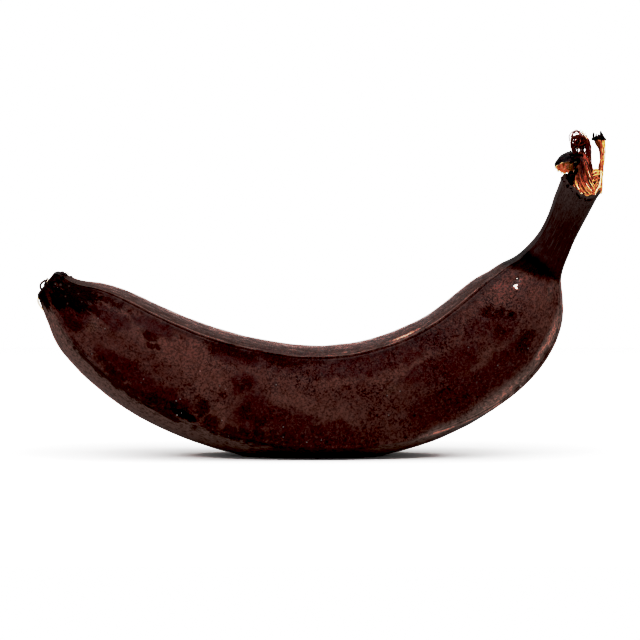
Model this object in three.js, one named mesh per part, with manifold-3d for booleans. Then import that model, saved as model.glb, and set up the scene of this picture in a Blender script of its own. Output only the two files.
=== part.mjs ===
// A ripe plantain finger, torn from its bunch and set down on its outer curve.
//
// Millimetres, +Z up. The origin is the middle of the flat spot that the fruit rests on. The blossom end is
// towards -X, the stem towards +X, and both rise. Skin, stem and torn fibres grew as one: they are one solid.
import * as THREE from "three";
import { mergeVertices } from "three/addons/utils/BufferGeometryUtils.js";
import Module from "manifold-3d";

const wasm = await Module();
wasm.setup();

// ---------------------------------------------------------------- driving dimensions

// The spine, from the blossom end to the torn end of the stem: straight and bent runs, end to end.
const BLOSSOM_HEADING = -38; // degrees above level at the blossom end, looking towards the stem
const SPINE_RUNS = [
  { length: 30, turn: 0 }, // blossom end
  { length: 88, turn: 38 }, // blossom half of the finger, level at its end
  { length: 74, turn: 37 }, // stem half of the finger
  { length: 28, turn: 27 }, // shoulder
  { length: 43, turn: 0 }, // stem
];
const REST_ALONG = 118; // the level place on the spine, over the origin
const REST_HEIGHT = 21.4; // of the spine there

// Half sizes across the spine, out to the curve that the ridges touch: towards the inner curve of the finger,
// its outer curve and its two sides. They run smoothly from one station to the next.
const GIRTH = [
  { along: 0, inner: 8.2, outer: 7.5, side: 7.4 },
  { along: 8, inner: 10.6, outer: 13.0, side: 10.8 },
  { along: 16, inner: 15.9, outer: 18.4, side: 15.4 },
  { along: 25, inner: 19.8, outer: 21.2, side: 18.8 },
  { along: 38, inner: 22.8, outer: 23.2, side: 21.4 },
  { along: 60, inner: 25.2, outer: 25.4, side: 23.2 },
  { along: 90, inner: 26.4, outer: 26.6, side: 24.0 },
  { along: 118, inner: 25.8, outer: 26.8, side: 24.2 },
  { along: 150, inner: 25.5, outer: 27.0, side: 24.0 },
  { along: 176, inner: 26.0, outer: 26.6, side: 23.4 },
  { along: 196, inner: 26.7, outer: 24.8, side: 21.8 },
  { along: 208, inner: 25.4, outer: 22.2, side: 19.6 },
  { along: 216, inner: 22.9, outer: 19.2, side: 17.0 },
  { along: 224, inner: 18.2, outer: 14.4, side: 13.4 },
  { along: 231, inner: 12.2, outer: 9.8, side: 9.8 },
  { along: 240, inner: 8.6, outer: 8.5, side: 8.0 },
  { along: 250, inner: 7.9, outer: 7.9, side: 7.6 },
  { along: 263, inner: 9.9, outer: 8.5, side: 8.8 },
];

// Five ridges run the length of the finger. Their places round it are in degrees from the middle of the inner
// curve, by way of the side that faces -Y.
const RIDGES = [40, 138, 218, 268, 320];
const ANGULARITY = 0.5; // of the faces between the ridges: 0 is round, 1 is flat
const RIDGE_BEAD = 0.35; // height of the raised line along each ridge
const BEAD_REACH = 3.5; // degrees to each side that it takes up
const STEPS_PER_FACE = 5;

const RINGS_ALONG = 52; // between the two ends
const CAP_RINGS = {
  // Rings that close the ends: how far past the end, as a share of its radius, and how wide
  stem: [
    { out: 0.0, wide: 0 },
    { out: -0.1, wide: 0.33 },
    { out: -0.06, wide: 0.66 },
    { out: 0.12, wide: 0.86 },
    { out: 0.1, wide: 0.97 },
  ],
  blossom: [
    { out: 0.12, wide: 0.95 },
    { out: 0.22, wide: 0.8 },
    { out: 0.16, wide: 0.55 },
    { out: 0.02, wide: 0.3 },
    { out: 0.0, wide: 0 },
  ],
};
const TORN_COLLAR = { inner: 3.8, outer: 4.4 }; // how much higher the torn rim stands there than at its sides
const TORN_ROUGHNESS = 0.6; // of the torn rim, up and down

// What was torn out of the bunch with the stem. Places are from the middle of the torn end: x, y, z. Those
// round the stem have an angle as the ridges have, a distance from the stem's axis and a height along it.
const STRAND = 0.95; // thickness of a fibre
const STRAND_SIDES = 3;
const STRAND_ROOT = 2.5; // how deep a fibre is sunk into what it grows from
const PITH = { foot: 6.8, top: 2.6, height: 15, lean: [3.4, 0.3, 13.6], sides: 9 };
const FAN = {
  // Fibres all round the pith, drawn up from the torn rim and swept towards the inner side
  strands: 24,
  crowding: { at: 125, by: 30 }, // degrees: where they stand closest, and how far others are moved that way
  steps: 6,
  rootWide: 0.78, // of the torn end
  top: { radius: 4.4, height: 8.8, slant: 3.4 }, // the slant lifts them on the outer side
  sweep: 35, // degrees
  belly: 1.22, // how far they stand out half way up, against a straight line
  curl: { radius: 2.6, height: 1.4 }, // where their tips turn in, and how far up
};
const STRIP = {
  // A thin strip that stands alone on the outer side and widens to a ragged head
  strands: 4,
  steps: 8,
  line: [[7.4, -0.4, 2.0], [8.9, -0.6, 9.2], [9.7, -0.4, 14.5], [9.4, 0.0, 18.0], [8.4, 0.2, 22.2]],
  foot: 0.3, // between its fibres, at its foot and at its head
  head: 1.05,
  aside: [0.85, 0.5, 0], // the way that it is wide
  knob: [2.1, 1.5, 1.4], // radii of the head
  knobUp: 0.9, // of its middle, past the line's end
  spikes: 6,
  spikeLengths: [2.2, 2.9],
  spikeLift: 0.3, // how much they all point up
};
const LOOPS = {
  // Dried fibres that rise, turn over and come back down, as a slack net
  strands: 11,
  steps: 9,
  foot: [1.6, 0.2, 9.6],
  footSpread: [1.8, 1.8, 1.0],
  crown: [0.0, 0.3, 24.8],
  crownSpread: [2.2, 1.8, 1.4],
  width: 8.0, // of a loop, between its rising and falling limbs
  depth: 0.6, // of a loop that turns across the others, as a share of that
  widest: 0.55, // of the way up
  end: 0.1, // of the way up, where the falling limb stops
};
const FLAP = {
  // A curled scale of skin on the inner side: a hood that opens down and towards -Y
  middle: [-3.6, -1.4, 11.3],
  radii: [5.2, 4.6, 5.6],
  hollow: [-0.2, -1.0, -1.7], // how far its hollow is moved from its outside
};
const KNOBS = {
  // Shrunken lumps between the inner rim and the scale
  count: 12,
  sizes: [1.2, 2.0],
  from: -60, // degrees
  to: 74,
  low: { radius: 7.8, height: 3.2 },
  high: { radius: 4.6, height: 7.6 },
};
const CRUMBS = { count: 9, sizes: [0.7, 1.2], reach: 1.5 }; // dried flower, on the rim of the blossom scar

const SKIN = new THREE.Color(0x3a1a16);

// ---------------------------------------------------------------- the swept skin

const radians = THREE.MathUtils.degToRad;

/** A repeatable draw of numbers, by default from 0 to 1. */
function seeded(seed) {
  let state = seed;
  return (low = 0, high = 1) => {
    state = (state * 1664525 + 1013904223) % 4294967296;
    return low + ((high - low) * state) / 4294967296;
  };
}

const SPINE_LENGTH = SPINE_RUNS.reduce((sum, run) => sum + run.length, 0);

/** The spine's heading above level, in radians, at a distance along it. */
function headingAt(along) {
  let heading = BLOSSOM_HEADING;
  let start = 0;
  for (const { length, turn } of SPINE_RUNS) {
    heading += turn * THREE.MathUtils.clamp((along - start) / length, 0, 1);
    start += length;
  }
  return radians(heading);
}

/** The spine's place at a distance along it, summed in short steps from the level place. */
function spineAt(along) {
  const steps = 64;
  const step = (along - REST_ALONG) / steps;
  const place = new THREE.Vector3(0, 0, REST_HEIGHT);
  for (let i = 0; i < steps; i++) {
    const heading = headingAt(REST_ALONG + (i + 0.5) * step);
    place.x += step * Math.cos(heading);
    place.z += step * Math.sin(heading);
  }
  return place;
}

const girth = new THREE.CubicInterpolant(
  GIRTH.map((station) => station.along),
  GIRTH.flatMap(({ inner, outer, side }) => [inner, outer, side]),
  3,
);

/** The section's radius at an angle round it, as a share of the half sizes: five bowed faces. */
function sectionRadius(angle) {
  const turned = THREE.MathUtils.euclideanModulo(angle - RIDGES[0], 360) + RIDGES[0];
  const k = RIDGES.findLastIndex((ridge) => ridge <= turned);
  const next = k + 1 < RIDGES.length ? RIDGES[k + 1] : RIDGES[0] + 360;
  const middle = (RIDGES[k] + next) / 2;
  const half = radians((next - RIDGES[k]) / 2);
  const flat = Math.cos(half) / Math.cos(radians(turned - middle));
  return THREE.MathUtils.lerp(1, flat, ANGULARITY);
}

/** The height of the bead along a ridge, which is a single line of vertices between its two feet. */
function beadHeight(angle) {
  const nearest = Math.min(
    ...RIDGES.map((ridge) => Math.abs(THREE.MathUtils.euclideanModulo(angle - ridge + 180, 360) - 180)),
  );
  return nearest < 0.01 ? RIDGE_BEAD : 0;
}

/** How far the torn rim stands past the end of the spine, at an angle in radians. */
function tornEdge(a) {
  const ragged = Math.sin(5 * a + 1) + 0.6 * Math.sin(11 * a) + 0.5 * Math.sin(17 * a + 2);
  const inner = TORN_COLLAR.inner * Math.max(0, Math.cos(a)) ** 1.5;
  const outer = TORN_COLLAR.outer * Math.max(0, -Math.cos(a)) ** 3;
  return inner + outer + (TORN_ROUGHNESS * ragged) / 2;
}

/** A point of the skin. The ring gives the distance along, and for the end caps how far out and how wide. */
function skinPoint({ along, out = 0, wide = 1 }, angle) {
  const [inner, outer, side] = girth.evaluate(along);
  const heading = headingAt(along);
  const forward = new THREE.Vector3(Math.cos(heading), 0, Math.sin(heading));
  const inwards = new THREE.Vector3(-Math.sin(heading), 0, Math.cos(heading));
  const a = radians(angle);
  const radius = sectionRadius(angle) * wide;
  const bead = wide === 1 ? beadHeight(angle) : 0;
  const up = Math.cos(a) * (radius * (Math.cos(a) > 0 ? inner : outer) + bead);
  const across = Math.sin(a) * (radius * side + bead);
  const torn = along === SPINE_LENGTH && wide > 0.7 ? tornEdge(a) : 0;
  const point = spineAt(along)
    .addScaledVector(inwards, up)
    .addScaledVector(forward, out * inner + torn);
  point.y -= across;
  point.z = Math.max(point.z, 0); // soft fruit settles flat where it rests
  return point;
}

/** Angles round the section, with one on each ridge and one at each foot of its bead. */
function anglesRound() {
  const angles = [];
  RIDGES.forEach((ridge, k) => {
    const next = RIDGES[k + 1] ?? RIDGES[0] + 360;
    angles.push(ridge);
    for (let i = 0; i <= STEPS_PER_FACE; i++) {
      angles.push(THREE.MathUtils.lerp(ridge + BEAD_REACH, next - BEAD_REACH, i / STEPS_PER_FACE));
    }
  });
  return [...angles, RIDGES[0] + 360];
}

/** The rings from the middle of the torn end, down the stem and along the finger, to the blossom scar. */
function rings() {
  const spacing = SPINE_LENGTH / RINGS_ALONG;
  const along = Array.from({ length: RINGS_ALONG + 1 }, (_, i) => ({ along: i * spacing }));
  return [
    ...CAP_RINGS.stem.map(({ out, wide }) => ({ along: SPINE_LENGTH, out, wide })),
    ...along.reverse(),
    ...CAP_RINGS.blossom.map(({ out, wide }) => ({ along: 0, out: -out, wide })),
  ];
}

/** The closed skin: a sphere's grid of vertices, with its poles at the two ends, moved onto the fruit. */
function skinGeometry() {
  const angles = anglesRound();
  const allRings = rings();
  const grid = new THREE.SphereGeometry(1, angles.length - 1, allRings.length - 1);
  const place = grid.getAttribute("position");
  for (let i = 0; i < place.count; i++) {
    const ring = allRings[Math.floor(i / angles.length)];
    const { x, y, z } = skinPoint(ring, angles[i % angles.length]);
    place.setXYZ(i, x, y, z);
  }
  return grid;
}

// ---------------------------------------------------------------- the torn end of the stem

const vector = (xyz) => new THREE.Vector3(...xyz);
const tornMiddle = spineAt(SPINE_LENGTH);
const stemAxis = new THREE.Vector3(Math.cos(headingAt(SPINE_LENGTH)), 0, Math.sin(headingAt(SPINE_LENGTH)));
const stemInwards = new THREE.Vector3(-stemAxis.z, 0, stemAxis.x);

/** A place round the stem, from the middle of its torn end. */
function roundStem(angle, radius, height) {
  const a = radians(angle);
  const place = stemInwards.clone().multiplyScalar(radius * Math.cos(a)).addScaledVector(stemAxis, height);
  place.y -= radius * Math.sin(a);
  return place;
}

/** A fibre along a smooth line through points given from the middle of the torn end. */
function strand(points, steps) {
  const path = new THREE.CatmullRomCurve3(points.map((p) => p.clone().add(tornMiddle)));
  const corners = Array.from({ length: STRAND_SIDES }, (_, i) => {
    const a = (2 * Math.PI * i) / STRAND_SIDES;
    return new THREE.Vector2(Math.cos(a), Math.sin(a)).multiplyScalar(STRAND / 2);
  });
  const section = new THREE.Shape(corners);
  return new THREE.ExtrudeGeometry(section, { steps, extrudePath: path, bevelEnabled: false });
}

/** The pith that the fibres lie on: a leaning cone, its foot sunk into the stem. */
function pith() {
  const lean = vector(PITH.lean).normalize();
  const cone = new THREE.CylinderGeometry(PITH.top, PITH.foot, PITH.height, PITH.sides, 1);
  cone.applyQuaternion(new THREE.Quaternion().setFromUnitVectors(new THREE.Vector3(0, 1, 0), lean));
  const middle = tornMiddle.clone().addScaledVector(lean, PITH.height / 2 - STRAND_ROOT);
  return cone.translate(...middle.toArray());
}

/** Fibres from all round the torn rim, lying over the pith. */
function fan(random) {
  return Array.from({ length: FAN.strands }, (_, i) => {
    const even = (360 * (i + random(0, 0.4))) / FAN.strands;
    const angle = even - FAN.crowding.by * Math.sin(radians(even - FAN.crowding.at));
    const topAngle = angle - FAN.sweep * Math.sin(radians(angle));
    const topHeight = FAN.top.height - FAN.top.slant * Math.cos(radians(angle)) + random(-0.5, 0.5);
    const root = skinPoint({ along: SPINE_LENGTH, wide: FAN.rootWide }, angle).sub(tornMiddle);
    const sunk = root.clone().addScaledVector(stemAxis, -STRAND_ROOT);
    const top = roundStem(topAngle, FAN.top.radius, topHeight);
    const middle = root.clone().lerp(top, 0.5);
    const onAxis = stemAxis.clone().multiplyScalar(middle.dot(stemAxis));
    middle.sub(onAxis).multiplyScalar(FAN.belly).add(onAxis);
    const tip = roundStem(topAngle, FAN.curl.radius, topHeight + FAN.curl.height);
    return strand([sunk, root, middle, top, tip], FAN.steps);
  });
}

/** The strip that stands alone: a few fibres together, and the ragged head that they carry. */
function strip(random) {
  const line = STRIP.line.map(vector);
  line.unshift(line[0].clone().addScaledVector(stemAxis, -STRAND_ROOT));
  const fibres = Array.from({ length: STRIP.strands }, (_, i) => {
    const place = i - (STRIP.strands - 1) / 2;
    const fibre = line.map((p, k) => {
      const apart = THREE.MathUtils.lerp(STRIP.foot, STRIP.head, (k / (line.length - 1)) ** 2);
      return p.clone().addScaledVector(vector(STRIP.aside), place * apart);
    });
    return strand(fibre, STRIP.steps);
  });
  const top = line.at(-1).clone().addScaledVector(stemAxis, STRIP.knobUp);
  const knob = new THREE.IcosahedronGeometry(1, 1).scale(...STRIP.knob);
  knob.translate(...top.clone().add(tornMiddle).toArray());
  const spikes = Array.from({ length: STRIP.spikes }, (_, i) => {
    const a = (Math.PI * i) / (STRIP.spikes - 1);
    const way = new THREE.Vector3(Math.cos(a), random(-0.5, 0.5), STRIP.spikeLift + Math.sin(a)).normalize();
    const tip = top.clone().addScaledVector(way, random(...STRIP.spikeLengths));
    return strand([top, top.clone().lerp(tip, 0.5), tip], 2);
  });
  return [...fibres, knob, ...spikes];
}

/** Slack loops above the pith. */
function loops(random) {
  const drift = (spread) => vector(spread.map((s) => random(-s, s)));
  return Array.from({ length: LOOPS.strands }, (_, i) => {
    const foot = vector(LOOPS.foot).add(drift(LOOPS.footSpread));
    const crown = vector(LOOPS.crown).add(drift(LOOPS.crownSpread));
    const a = (Math.PI * i) / LOOPS.strands;
    const aside = new THREE.Vector3(Math.cos(a), LOOPS.depth * Math.sin(a), 0);
    aside.multiplyScalar(LOOPS.width / 2);
    const rising = foot.clone().lerp(crown, LOOPS.widest).add(aside);
    const falling = foot.clone().lerp(crown, LOOPS.widest).sub(aside);
    const end = foot.clone().lerp(crown, LOOPS.end).addScaledVector(aside, -0.4);
    return strand([foot, rising, crown, falling, end], LOOPS.steps);
  });
}

/** The curled scale of skin: an egg shape less the same shape moved aside, which leaves a thin hood. */
function flap() {
  const egg = () => solidOf(new THREE.SphereGeometry(1, 12, 8).scale(...FLAP.radii));
  const hood = geometryOf(egg().subtract(egg().translate(...FLAP.hollow)));
  return hood.translate(...vector(FLAP.middle).add(tornMiddle).toArray());
}

/** Small shrunken lumps that climb from the inner rim to the scale. */
function knobs(random) {
  const { low, high } = KNOBS;
  return Array.from({ length: KNOBS.count }, (_, i) => {
    const angle = THREE.MathUtils.lerp(KNOBS.from, KNOBS.to, i / (KNOBS.count - 1));
    const up = random();
    const radius = THREE.MathUtils.lerp(low.radius, high.radius, up);
    const place = roundStem(angle, radius, THREE.MathUtils.lerp(low.height, high.height, up));
    const lump = new THREE.IcosahedronGeometry(random(...KNOBS.sizes), 0).scale(1, 1, 1.3);
    return lump.translate(...place.add(tornMiddle).toArray());
  });
}

/** Crumbs of the dried flower on the rim of the blossom scar. */
function crumbs(random) {
  return Array.from({ length: CRUMBS.count }, (_, i) => {
    const ring = { along: random(0, CRUMBS.reach) };
    const angle = (360 * (i + random(0, 0.5))) / CRUMBS.count;
    const lump = new THREE.IcosahedronGeometry(random(...CRUMBS.sizes), 0).scale(1, 1, random(1, 2));
    return lump.translate(...skinPoint(ring, angle).toArray());
  });
}

// ---------------------------------------------------------------- joining

/** A closed geometry as a solid. */
function solidOf(geometry) {
  const bare = geometry.clone();
  bare.deleteAttribute("normal");
  bare.deleteAttribute("uv");
  const merged = mergeVertices(bare, 1e-4);
  return new wasm.Manifold(
    new wasm.Mesh({
      numProp: 3,
      vertProperties: merged.getAttribute("position").array,
      triVerts: new Uint32Array(merged.index.array),
    }),
  );
}

/** The largest body of a solid by itself: gaps that joining has sealed are filled, and scraps are dropped. */
function largestOf(solid) {
  return solid.decompose().reduce((largest, body) => (body.volume() > largest.volume() ? body : largest));
}

function geometryOf(solid) {
  const { vertProperties, triVerts } = solid.getMesh();
  const geometry = new THREE.BufferGeometry();
  geometry.setAttribute("position", new THREE.BufferAttribute(vertProperties, 3));
  geometry.setIndex(new THREE.BufferAttribute(triVerts, 1));
  geometry.computeVertexNormals();
  return geometry;
}

const random = seeded(6);
const tornFibres = [pith(), ...fan(random), ...strip(random), ...loops(random)];
const grown = [...tornFibres, flap(), ...knobs(random), ...crumbs(random)];
const whole = grown.reduce((solid, piece) => solid.add(solidOf(piece)), solidOf(skinGeometry()));

const plantain = new THREE.Mesh(
  geometryOf(largestOf(whole)),
  new THREE.MeshStandardMaterial({ color: SKIN, roughness: 0.45, metalness: 0 }),
);
plantain.name = "plantain";

const part = new THREE.Group();
part.add(plantain);
export default part;
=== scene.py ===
"""A black-ripe plantain finger with the torn end of its stem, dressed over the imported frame.

Sizes are in millimetres and angles in degrees, unless a comment says otherwise, and MM turns millimetres into
Blender's metres. The blossom end is towards -X, the stem end towards +X.
"""
import math

import bmesh
import bpy
from mathutils import Matrix, Vector, noise


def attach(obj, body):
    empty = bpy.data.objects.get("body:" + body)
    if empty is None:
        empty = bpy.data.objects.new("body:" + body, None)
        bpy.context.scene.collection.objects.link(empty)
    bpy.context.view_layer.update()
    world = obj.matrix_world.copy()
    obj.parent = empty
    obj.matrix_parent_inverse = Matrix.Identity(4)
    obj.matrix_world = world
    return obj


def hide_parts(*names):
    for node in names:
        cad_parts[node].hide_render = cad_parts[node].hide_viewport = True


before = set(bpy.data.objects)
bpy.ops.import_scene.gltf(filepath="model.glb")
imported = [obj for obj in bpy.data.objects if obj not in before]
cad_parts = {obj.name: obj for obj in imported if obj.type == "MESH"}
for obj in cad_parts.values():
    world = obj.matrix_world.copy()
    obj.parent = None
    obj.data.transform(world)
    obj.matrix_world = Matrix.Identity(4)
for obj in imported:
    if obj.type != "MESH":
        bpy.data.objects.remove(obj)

bl_info = {
    "name": "Black-ripe plantain",
    "version": (1, 0, 0),
    "blender": (4, 5, 0),
    "location": "3D View > Sidebar > Plantain",
    "description": "Grows a black-ripe plantain finger and the dried fibres of its torn stem",
    "category": "Add Mesh",
}

MM = 0.001
NODE = "plantain"
BODY = "root"

# ---------------------------------------------------------------- the fruit's form, as in the solid

BLOSSOM_HEADING = -38  # above level at the blossom end, looking towards the stem
SPINE_RUNS = [(30, 0), (88, 38), (74, 37), (28, 27), (43, 0)]  # length and turn of each run
SPINE_LENGTH = sum(run for run, turn in SPINE_RUNS)
SPINE_STEPS = 64  # that a place on the spine is summed in
REST_ALONG = 118  # where along the spine the flat spot is
REST_HEIGHT = 21.4  # of the spine over it

# Distance along the spine, and the half sizes there to the inner curve, the outer curve and the sides
GIRTH = [
    (0, 8.2, 7.5, 7.4), (8, 10.6, 13.0, 10.8), (16, 15.9, 18.4, 15.4), (25, 19.8, 21.2, 18.8),
    (38, 22.8, 23.2, 21.4), (60, 25.2, 25.4, 23.2), (90, 26.4, 26.6, 24.0), (118, 25.8, 26.8, 24.2),
    (150, 25.5, 27.0, 24.0), (176, 26.0, 26.6, 23.4), (196, 26.7, 24.8, 21.8), (208, 25.4, 22.2, 19.6),
    (216, 22.9, 19.2, 17.0), (224, 18.2, 14.4, 13.4), (231, 12.2, 9.8, 9.8), (240, 8.6, 8.5, 8.0),
    (250, 7.9, 7.9, 7.6), (263, 9.9, 8.5, 8.8),
]
RIDGES = [40, 138, 218, 268, 320]  # round from the middle of the inner curve, by way of -Y
FACES = list(zip(RIDGES, RIDGES[1:] + [RIDGES[0] + 360]))  # from ridge to ridge
ANGULARITY = 0.5  # of the faces between the ridges: 0 is round, 1 is flat

# The two ends: how far past the spine's end, and how wide, both as a share of the size there
STEM_CAP = [(0.1, 1.0), (0.1, 0.97), (0.12, 0.86), (-0.06, 0.66), (-0.1, 0.33), (0.0, 0.0)]
BLOSSOM_CAP = [(0.0, 1.0), (0.12, 0.95), (0.22, 0.8), (0.16, 0.55), (0.02, 0.3), (0.0, 0.0)]
TORN_INNER = 3.8  # how much higher the torn rim stands on the inner side than at the sides
TORN_OUTER = 4.4
TORN_ROUGHNESS = 0.6
TORN_REACH = 5.0  # how far down the stem the torn rim pulls it
TORN_FROM = 0.66  # share of the stem's width from where its end is pulled out with the torn rim
TORN_WHOLE = 0.2  # and how much wider it is where it is pulled out in full

STRAND_ROOT = 1.5  # how deep a fibre is sunk into what it grows from
PITH = [  # height over the middle of the torn end, how far to +X the pith stands there, and its radius
    (-2.5, -0.3, 5.2), (0, 0.7, 6.0), (3, 1.6, 5.6), (6, 2.0, 4.8), (9, 2.1, 3.9), (12, 2.0, 3.2),
    (14.5, 1.8, 2.3), (16.5, 1.6, 1.3),
]
PITH_STEP = 0.8
# Thin flesh between the pith and the strip's foot, and dried black sap on the pith: place and radius
WEB_LUMPS = [
    ((7.6, 0.3, 1.5), 1.5), ((7.9, 0.4, 3.6), 1.3), ((8.2, 0.3, 5.8), 1.2), ((8.3, 0.3, 7.8), 1.1),
    ((7.2, 0.4, 5.0), 1.6), ((6.9, 0.4, 7.6), 1.5), ((7.4, 0.3, 9.2), 1.0), ((8.5, 0.2, 9.6), 0.9),
    ((6.0, 0.3, 9.4), 1.2), ((9.0, 0.1, 10.6), 0.7),
]
SAP_LUMPS = [
    ((-3.6, -2.4, 5.6), 1.5), ((-2.5, -2.9, 7.0), 1.4), ((-0.6, -2.6, 8.8), 1.5), ((-0.3, -2.5, 10.3), 1.4),
    ((-0.3, -1.9, 12.0), 1.4), ((0.1, -1.8, 13.2), 1.5), ((0.0, -1.0, 14.6), 1.4), ((-0.6, -0.6, 15.8), 1.0),
    ((1.4, -1.0, 15.6), 1.2), ((1.9, -0.7, 16.9), 0.9), ((-2.6, 1.4, 6.0), 2.2), ((-0.2, 1.6, 10.0), 2.0),
    ((-2.6, -1.0, 13.4), 0.9), ((-2.9, -0.6, 16.0), 0.6), ((-2.8, -0.5, 17.4), 0.5),
]
# The same sap among the slack fibres
BALL_LUMPS = [
    ((0.4, 0.6, 20.8), 1.5), ((1.8, 0.5, 20.2), 1.3), ((2.2, 0.4, 22.0), 1.2), ((-1.0, 0.6, 21.2), 0.9),
    ((2.2, 0.3, 18.6), 0.7),
]

# A fibre's tint is 0 for cream, 1 for nearly black. Pairs are the least and the most that is drawn.
FAN_STRANDS = 76
FAN_ROOT = (0.78, 0.9)  # share of the stem's radius
FAN_RISE = (4.5, 12.5)
FAN_STATIONS = (0.14, 0.3, 0.5, 0.75, 1)  # shares of its rise where a fibre bends
FAN_SWEEP = 82
FAN_SWEPT_FROM = 40  # from the front to +X, where the sweep is strongest
FAN_EASE = 5.0  # height in which most of the sweep is done
FAN_OVER = 0.25  # over the pith
FAN_TINT = (-0.4, 0.42)
FAN_TINT_FOOT = 0.06  # darker where it is sunk in
FAN_TINT_BEND = 0.03  # paler from its first bend
FAN_TINT_RISE = 0.052  # darker with each millimetre up
FAN_TINT_TURN = 0.004  # and with each degree on the inner side of FAN_TINT_FROM
FAN_TINT_FROM = 10
PITH_STRANDS = 60  # torn ones that stand out of the pith itself
PITH_STRANDS_TURN = (-40, 85)
PITH_STRANDS_FOOT = (3, 10.5)  # height over the torn end
PITH_STRANDS_LEAN = 3  # to the inner side from point to point
PITH_STRANDS_STEP = 1.3  # up from point to point
NET_STRANDS = 56
NET_FROM = 118  # round the rim
NET_TO = 242
RIM_STRANDS = 26  # lying along the torn edge
RIM_STRANDS_FROM = (70, 250)
RIM_STRANDS_STEP = 7  # round the rim from point to point
STRIP = [  # height, how far to +X, and width
    (0.5, 8.5, 2.4), (5.5, 8.9, 2.2), (10.4, 9.35, 1.8), (14.0, 9.85, 1.5), (18.0, 9.75, 2.3),
    (20.0, 9.25, 3.5), (21.9, 8.75, 4.0),
]
STRIP_STRANDS = 20
STRIP_BOW = 0.5  # of its middle towards the front
STRIP_TINT = 0.44  # of its middle
STRIP_TINT_ACROSS = 0.45  # from its outer edge to the inner one
STRIP_TINT_OFF = 0.28  # up or down at a point
STRIP_DARK_FROM = 16  # height from where its inner edge darkens
STRIP_DARKENS = 0.05  # with each millimetre up
# The strip's black head: ends and radii of the spikes it is made of
HEAD_SPIKES = [
    ((6.3, 0.1, 22.4), 0.75, (10.2, -0.1, 22.5), 0.8),
    ((6.3, 0.2, 22.6), 0.5, (6.2, 0.3, 24.9), 0.3),
    ((7.3, -0.3, 22.5), 0.5, (7.4, -0.3, 24.2), 0.35),
    ((8.4, 0.3, 22.8), 0.7, (8.3, 0.4, 23.6), 0.5),
    ((9.7, -0.1, 22.6), 1.0, (9.1, 0.0, 25.5), 0.25),
    ((10.2, 0.1, 22.8), 0.6, (11.1, 0.2, 22.1), 0.4),
]
HEAD_STEP = 0.3
FIBRE_THICKNESS = 0.42  # that the fibres' own thicknesses are set against
# Slack fibres: how many together, thickness, tint, and where they pass
SLACK = [
    (7, 0.42, 0.9, [(-2.9, -0.4, 20.8), (-2.4, -0.7, 18.8), (-1.3, -0.6, 16.8), (-0.3, -0.6, 14.8)]),
    (4, 0.40, 0.85, [(-1.6, 0.3, 20.2), (-0.9, 0.4, 18.0), (-0.2, 0.2, 16.0), (0.1, 0.0, 14.2)]),
    (6, 0.60, 0.95, [(1.6, -0.6, 19.8), (1.9, -0.5, 17.8), (1.8, -0.4, 15.5)]),
    (8, 0.45, 0.85, [(3.2, -0.6, 19.8), (3.6, -0.5, 17.4), (2.6, -0.4, 14.8), (2.2, -0.4, 13.0)]),
    (9, 0.45, 0.76, [
        (2.8, -0.5, 23.6), (3.9, -0.7, 21.6), (4.4, -0.6, 19.2), (4.8, -0.4, 16.8), (4.9, -0.2, 14.6),
        (4.8, -0.4, 11.5)]),
    (4, 0.40, 0.62, [(4.0, 0.2, 18.4), (4.6, 0.1, 16.0), (4.6, -0.6, 13.4), (4.2, -2.0, 10.5)]),
    (2, 0.32, 0.85, [
        (-2.9, 0.0, 21.4), (-2.7, 0.2, 24.0), (-1.3, 0.2, 25.7), (0.2, 0.1, 25.2), (1.1, 0.0, 23.8)]),
    (3, 0.34, 0.9, [
        (-2.0, -0.5, 23.0), (-1.9, -0.4, 24.8), (-0.4, -0.3, 25.4), (0.8, -0.2, 24.6), (0.6, 0.0, 23.2)]),
    (2, 0.34, 0.85, [(0.4, 0.5, 22.8), (1.4, 0.4, 24.6), (2.6, 0.3, 24.2), (3.0, 0.2, 22.8)]),
    (2, 0.30, 0.9, [
        (-2.5, 0.4, 22.6), (-1.5, 0.3, 24.6), (-0.2, 0.1, 24.4), (0.9, 0.0, 25.2), (1.6, 0.2, 25.4)]),
    (2, 0.42, 0.12, [(2.2, -0.9, 25.4), (3.1, -1.1, 24.2), (3.9, -1.1, 22.6)]),
    (1, 0.36, 0.8, [(1.0, 0.0, 22.6), (2.3, 0.0, 24.0), (2.9, 0.1, 25.0)]),
]
BALL_RINGS = 36  # of the slack fibres that are wound round an egg-shaped space
BALL_MIDDLE = (0.6, 0.2, 21.2)
BALL_RADII = (3.9, 2.4, 2.8)
BALL_POINTS = 9  # on each
SCALE_MIDDLE = (-2.4, -1.8, 11.2)
SCALE_RADII = (6.7, 3.5, 9.0)  # to its tip, across its mouth, and into its depth
SCALE_FACING = (0, -0.8, -0.6)
SCALE_POINT = 1.25  # 1 for a round tip, more for a pointed one
SCALE_STEPS = (48, 48)
SCALE_LENGTH = (75, 176)  # degrees along it, from its broken end to its tip
SCALE_WIDTH = (-5, 182)  # and across it, from edge to edge
SCALE_TEARS = ((-10, 0.09, 5.0), (22, 0.3, 9.0))  # of each edge: how far, how often, and a row of the noise
SCALE_CRUMPLES = ((2.2, 0.5), (0.8, 0.16))  # size and height
SCALE_SOLID = 0.6  # how thick its edge is
SCALE_HOLLOW = 3.2  # how deep its hollow side is
COLLAR_LUMPS = 110  # of sap between the pith and the rim's inner side
COLLAR_TURN = (-105, 52)  # round the rim
RIM_LUMPS = 150
SCAR_LUMPS = 46
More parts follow.
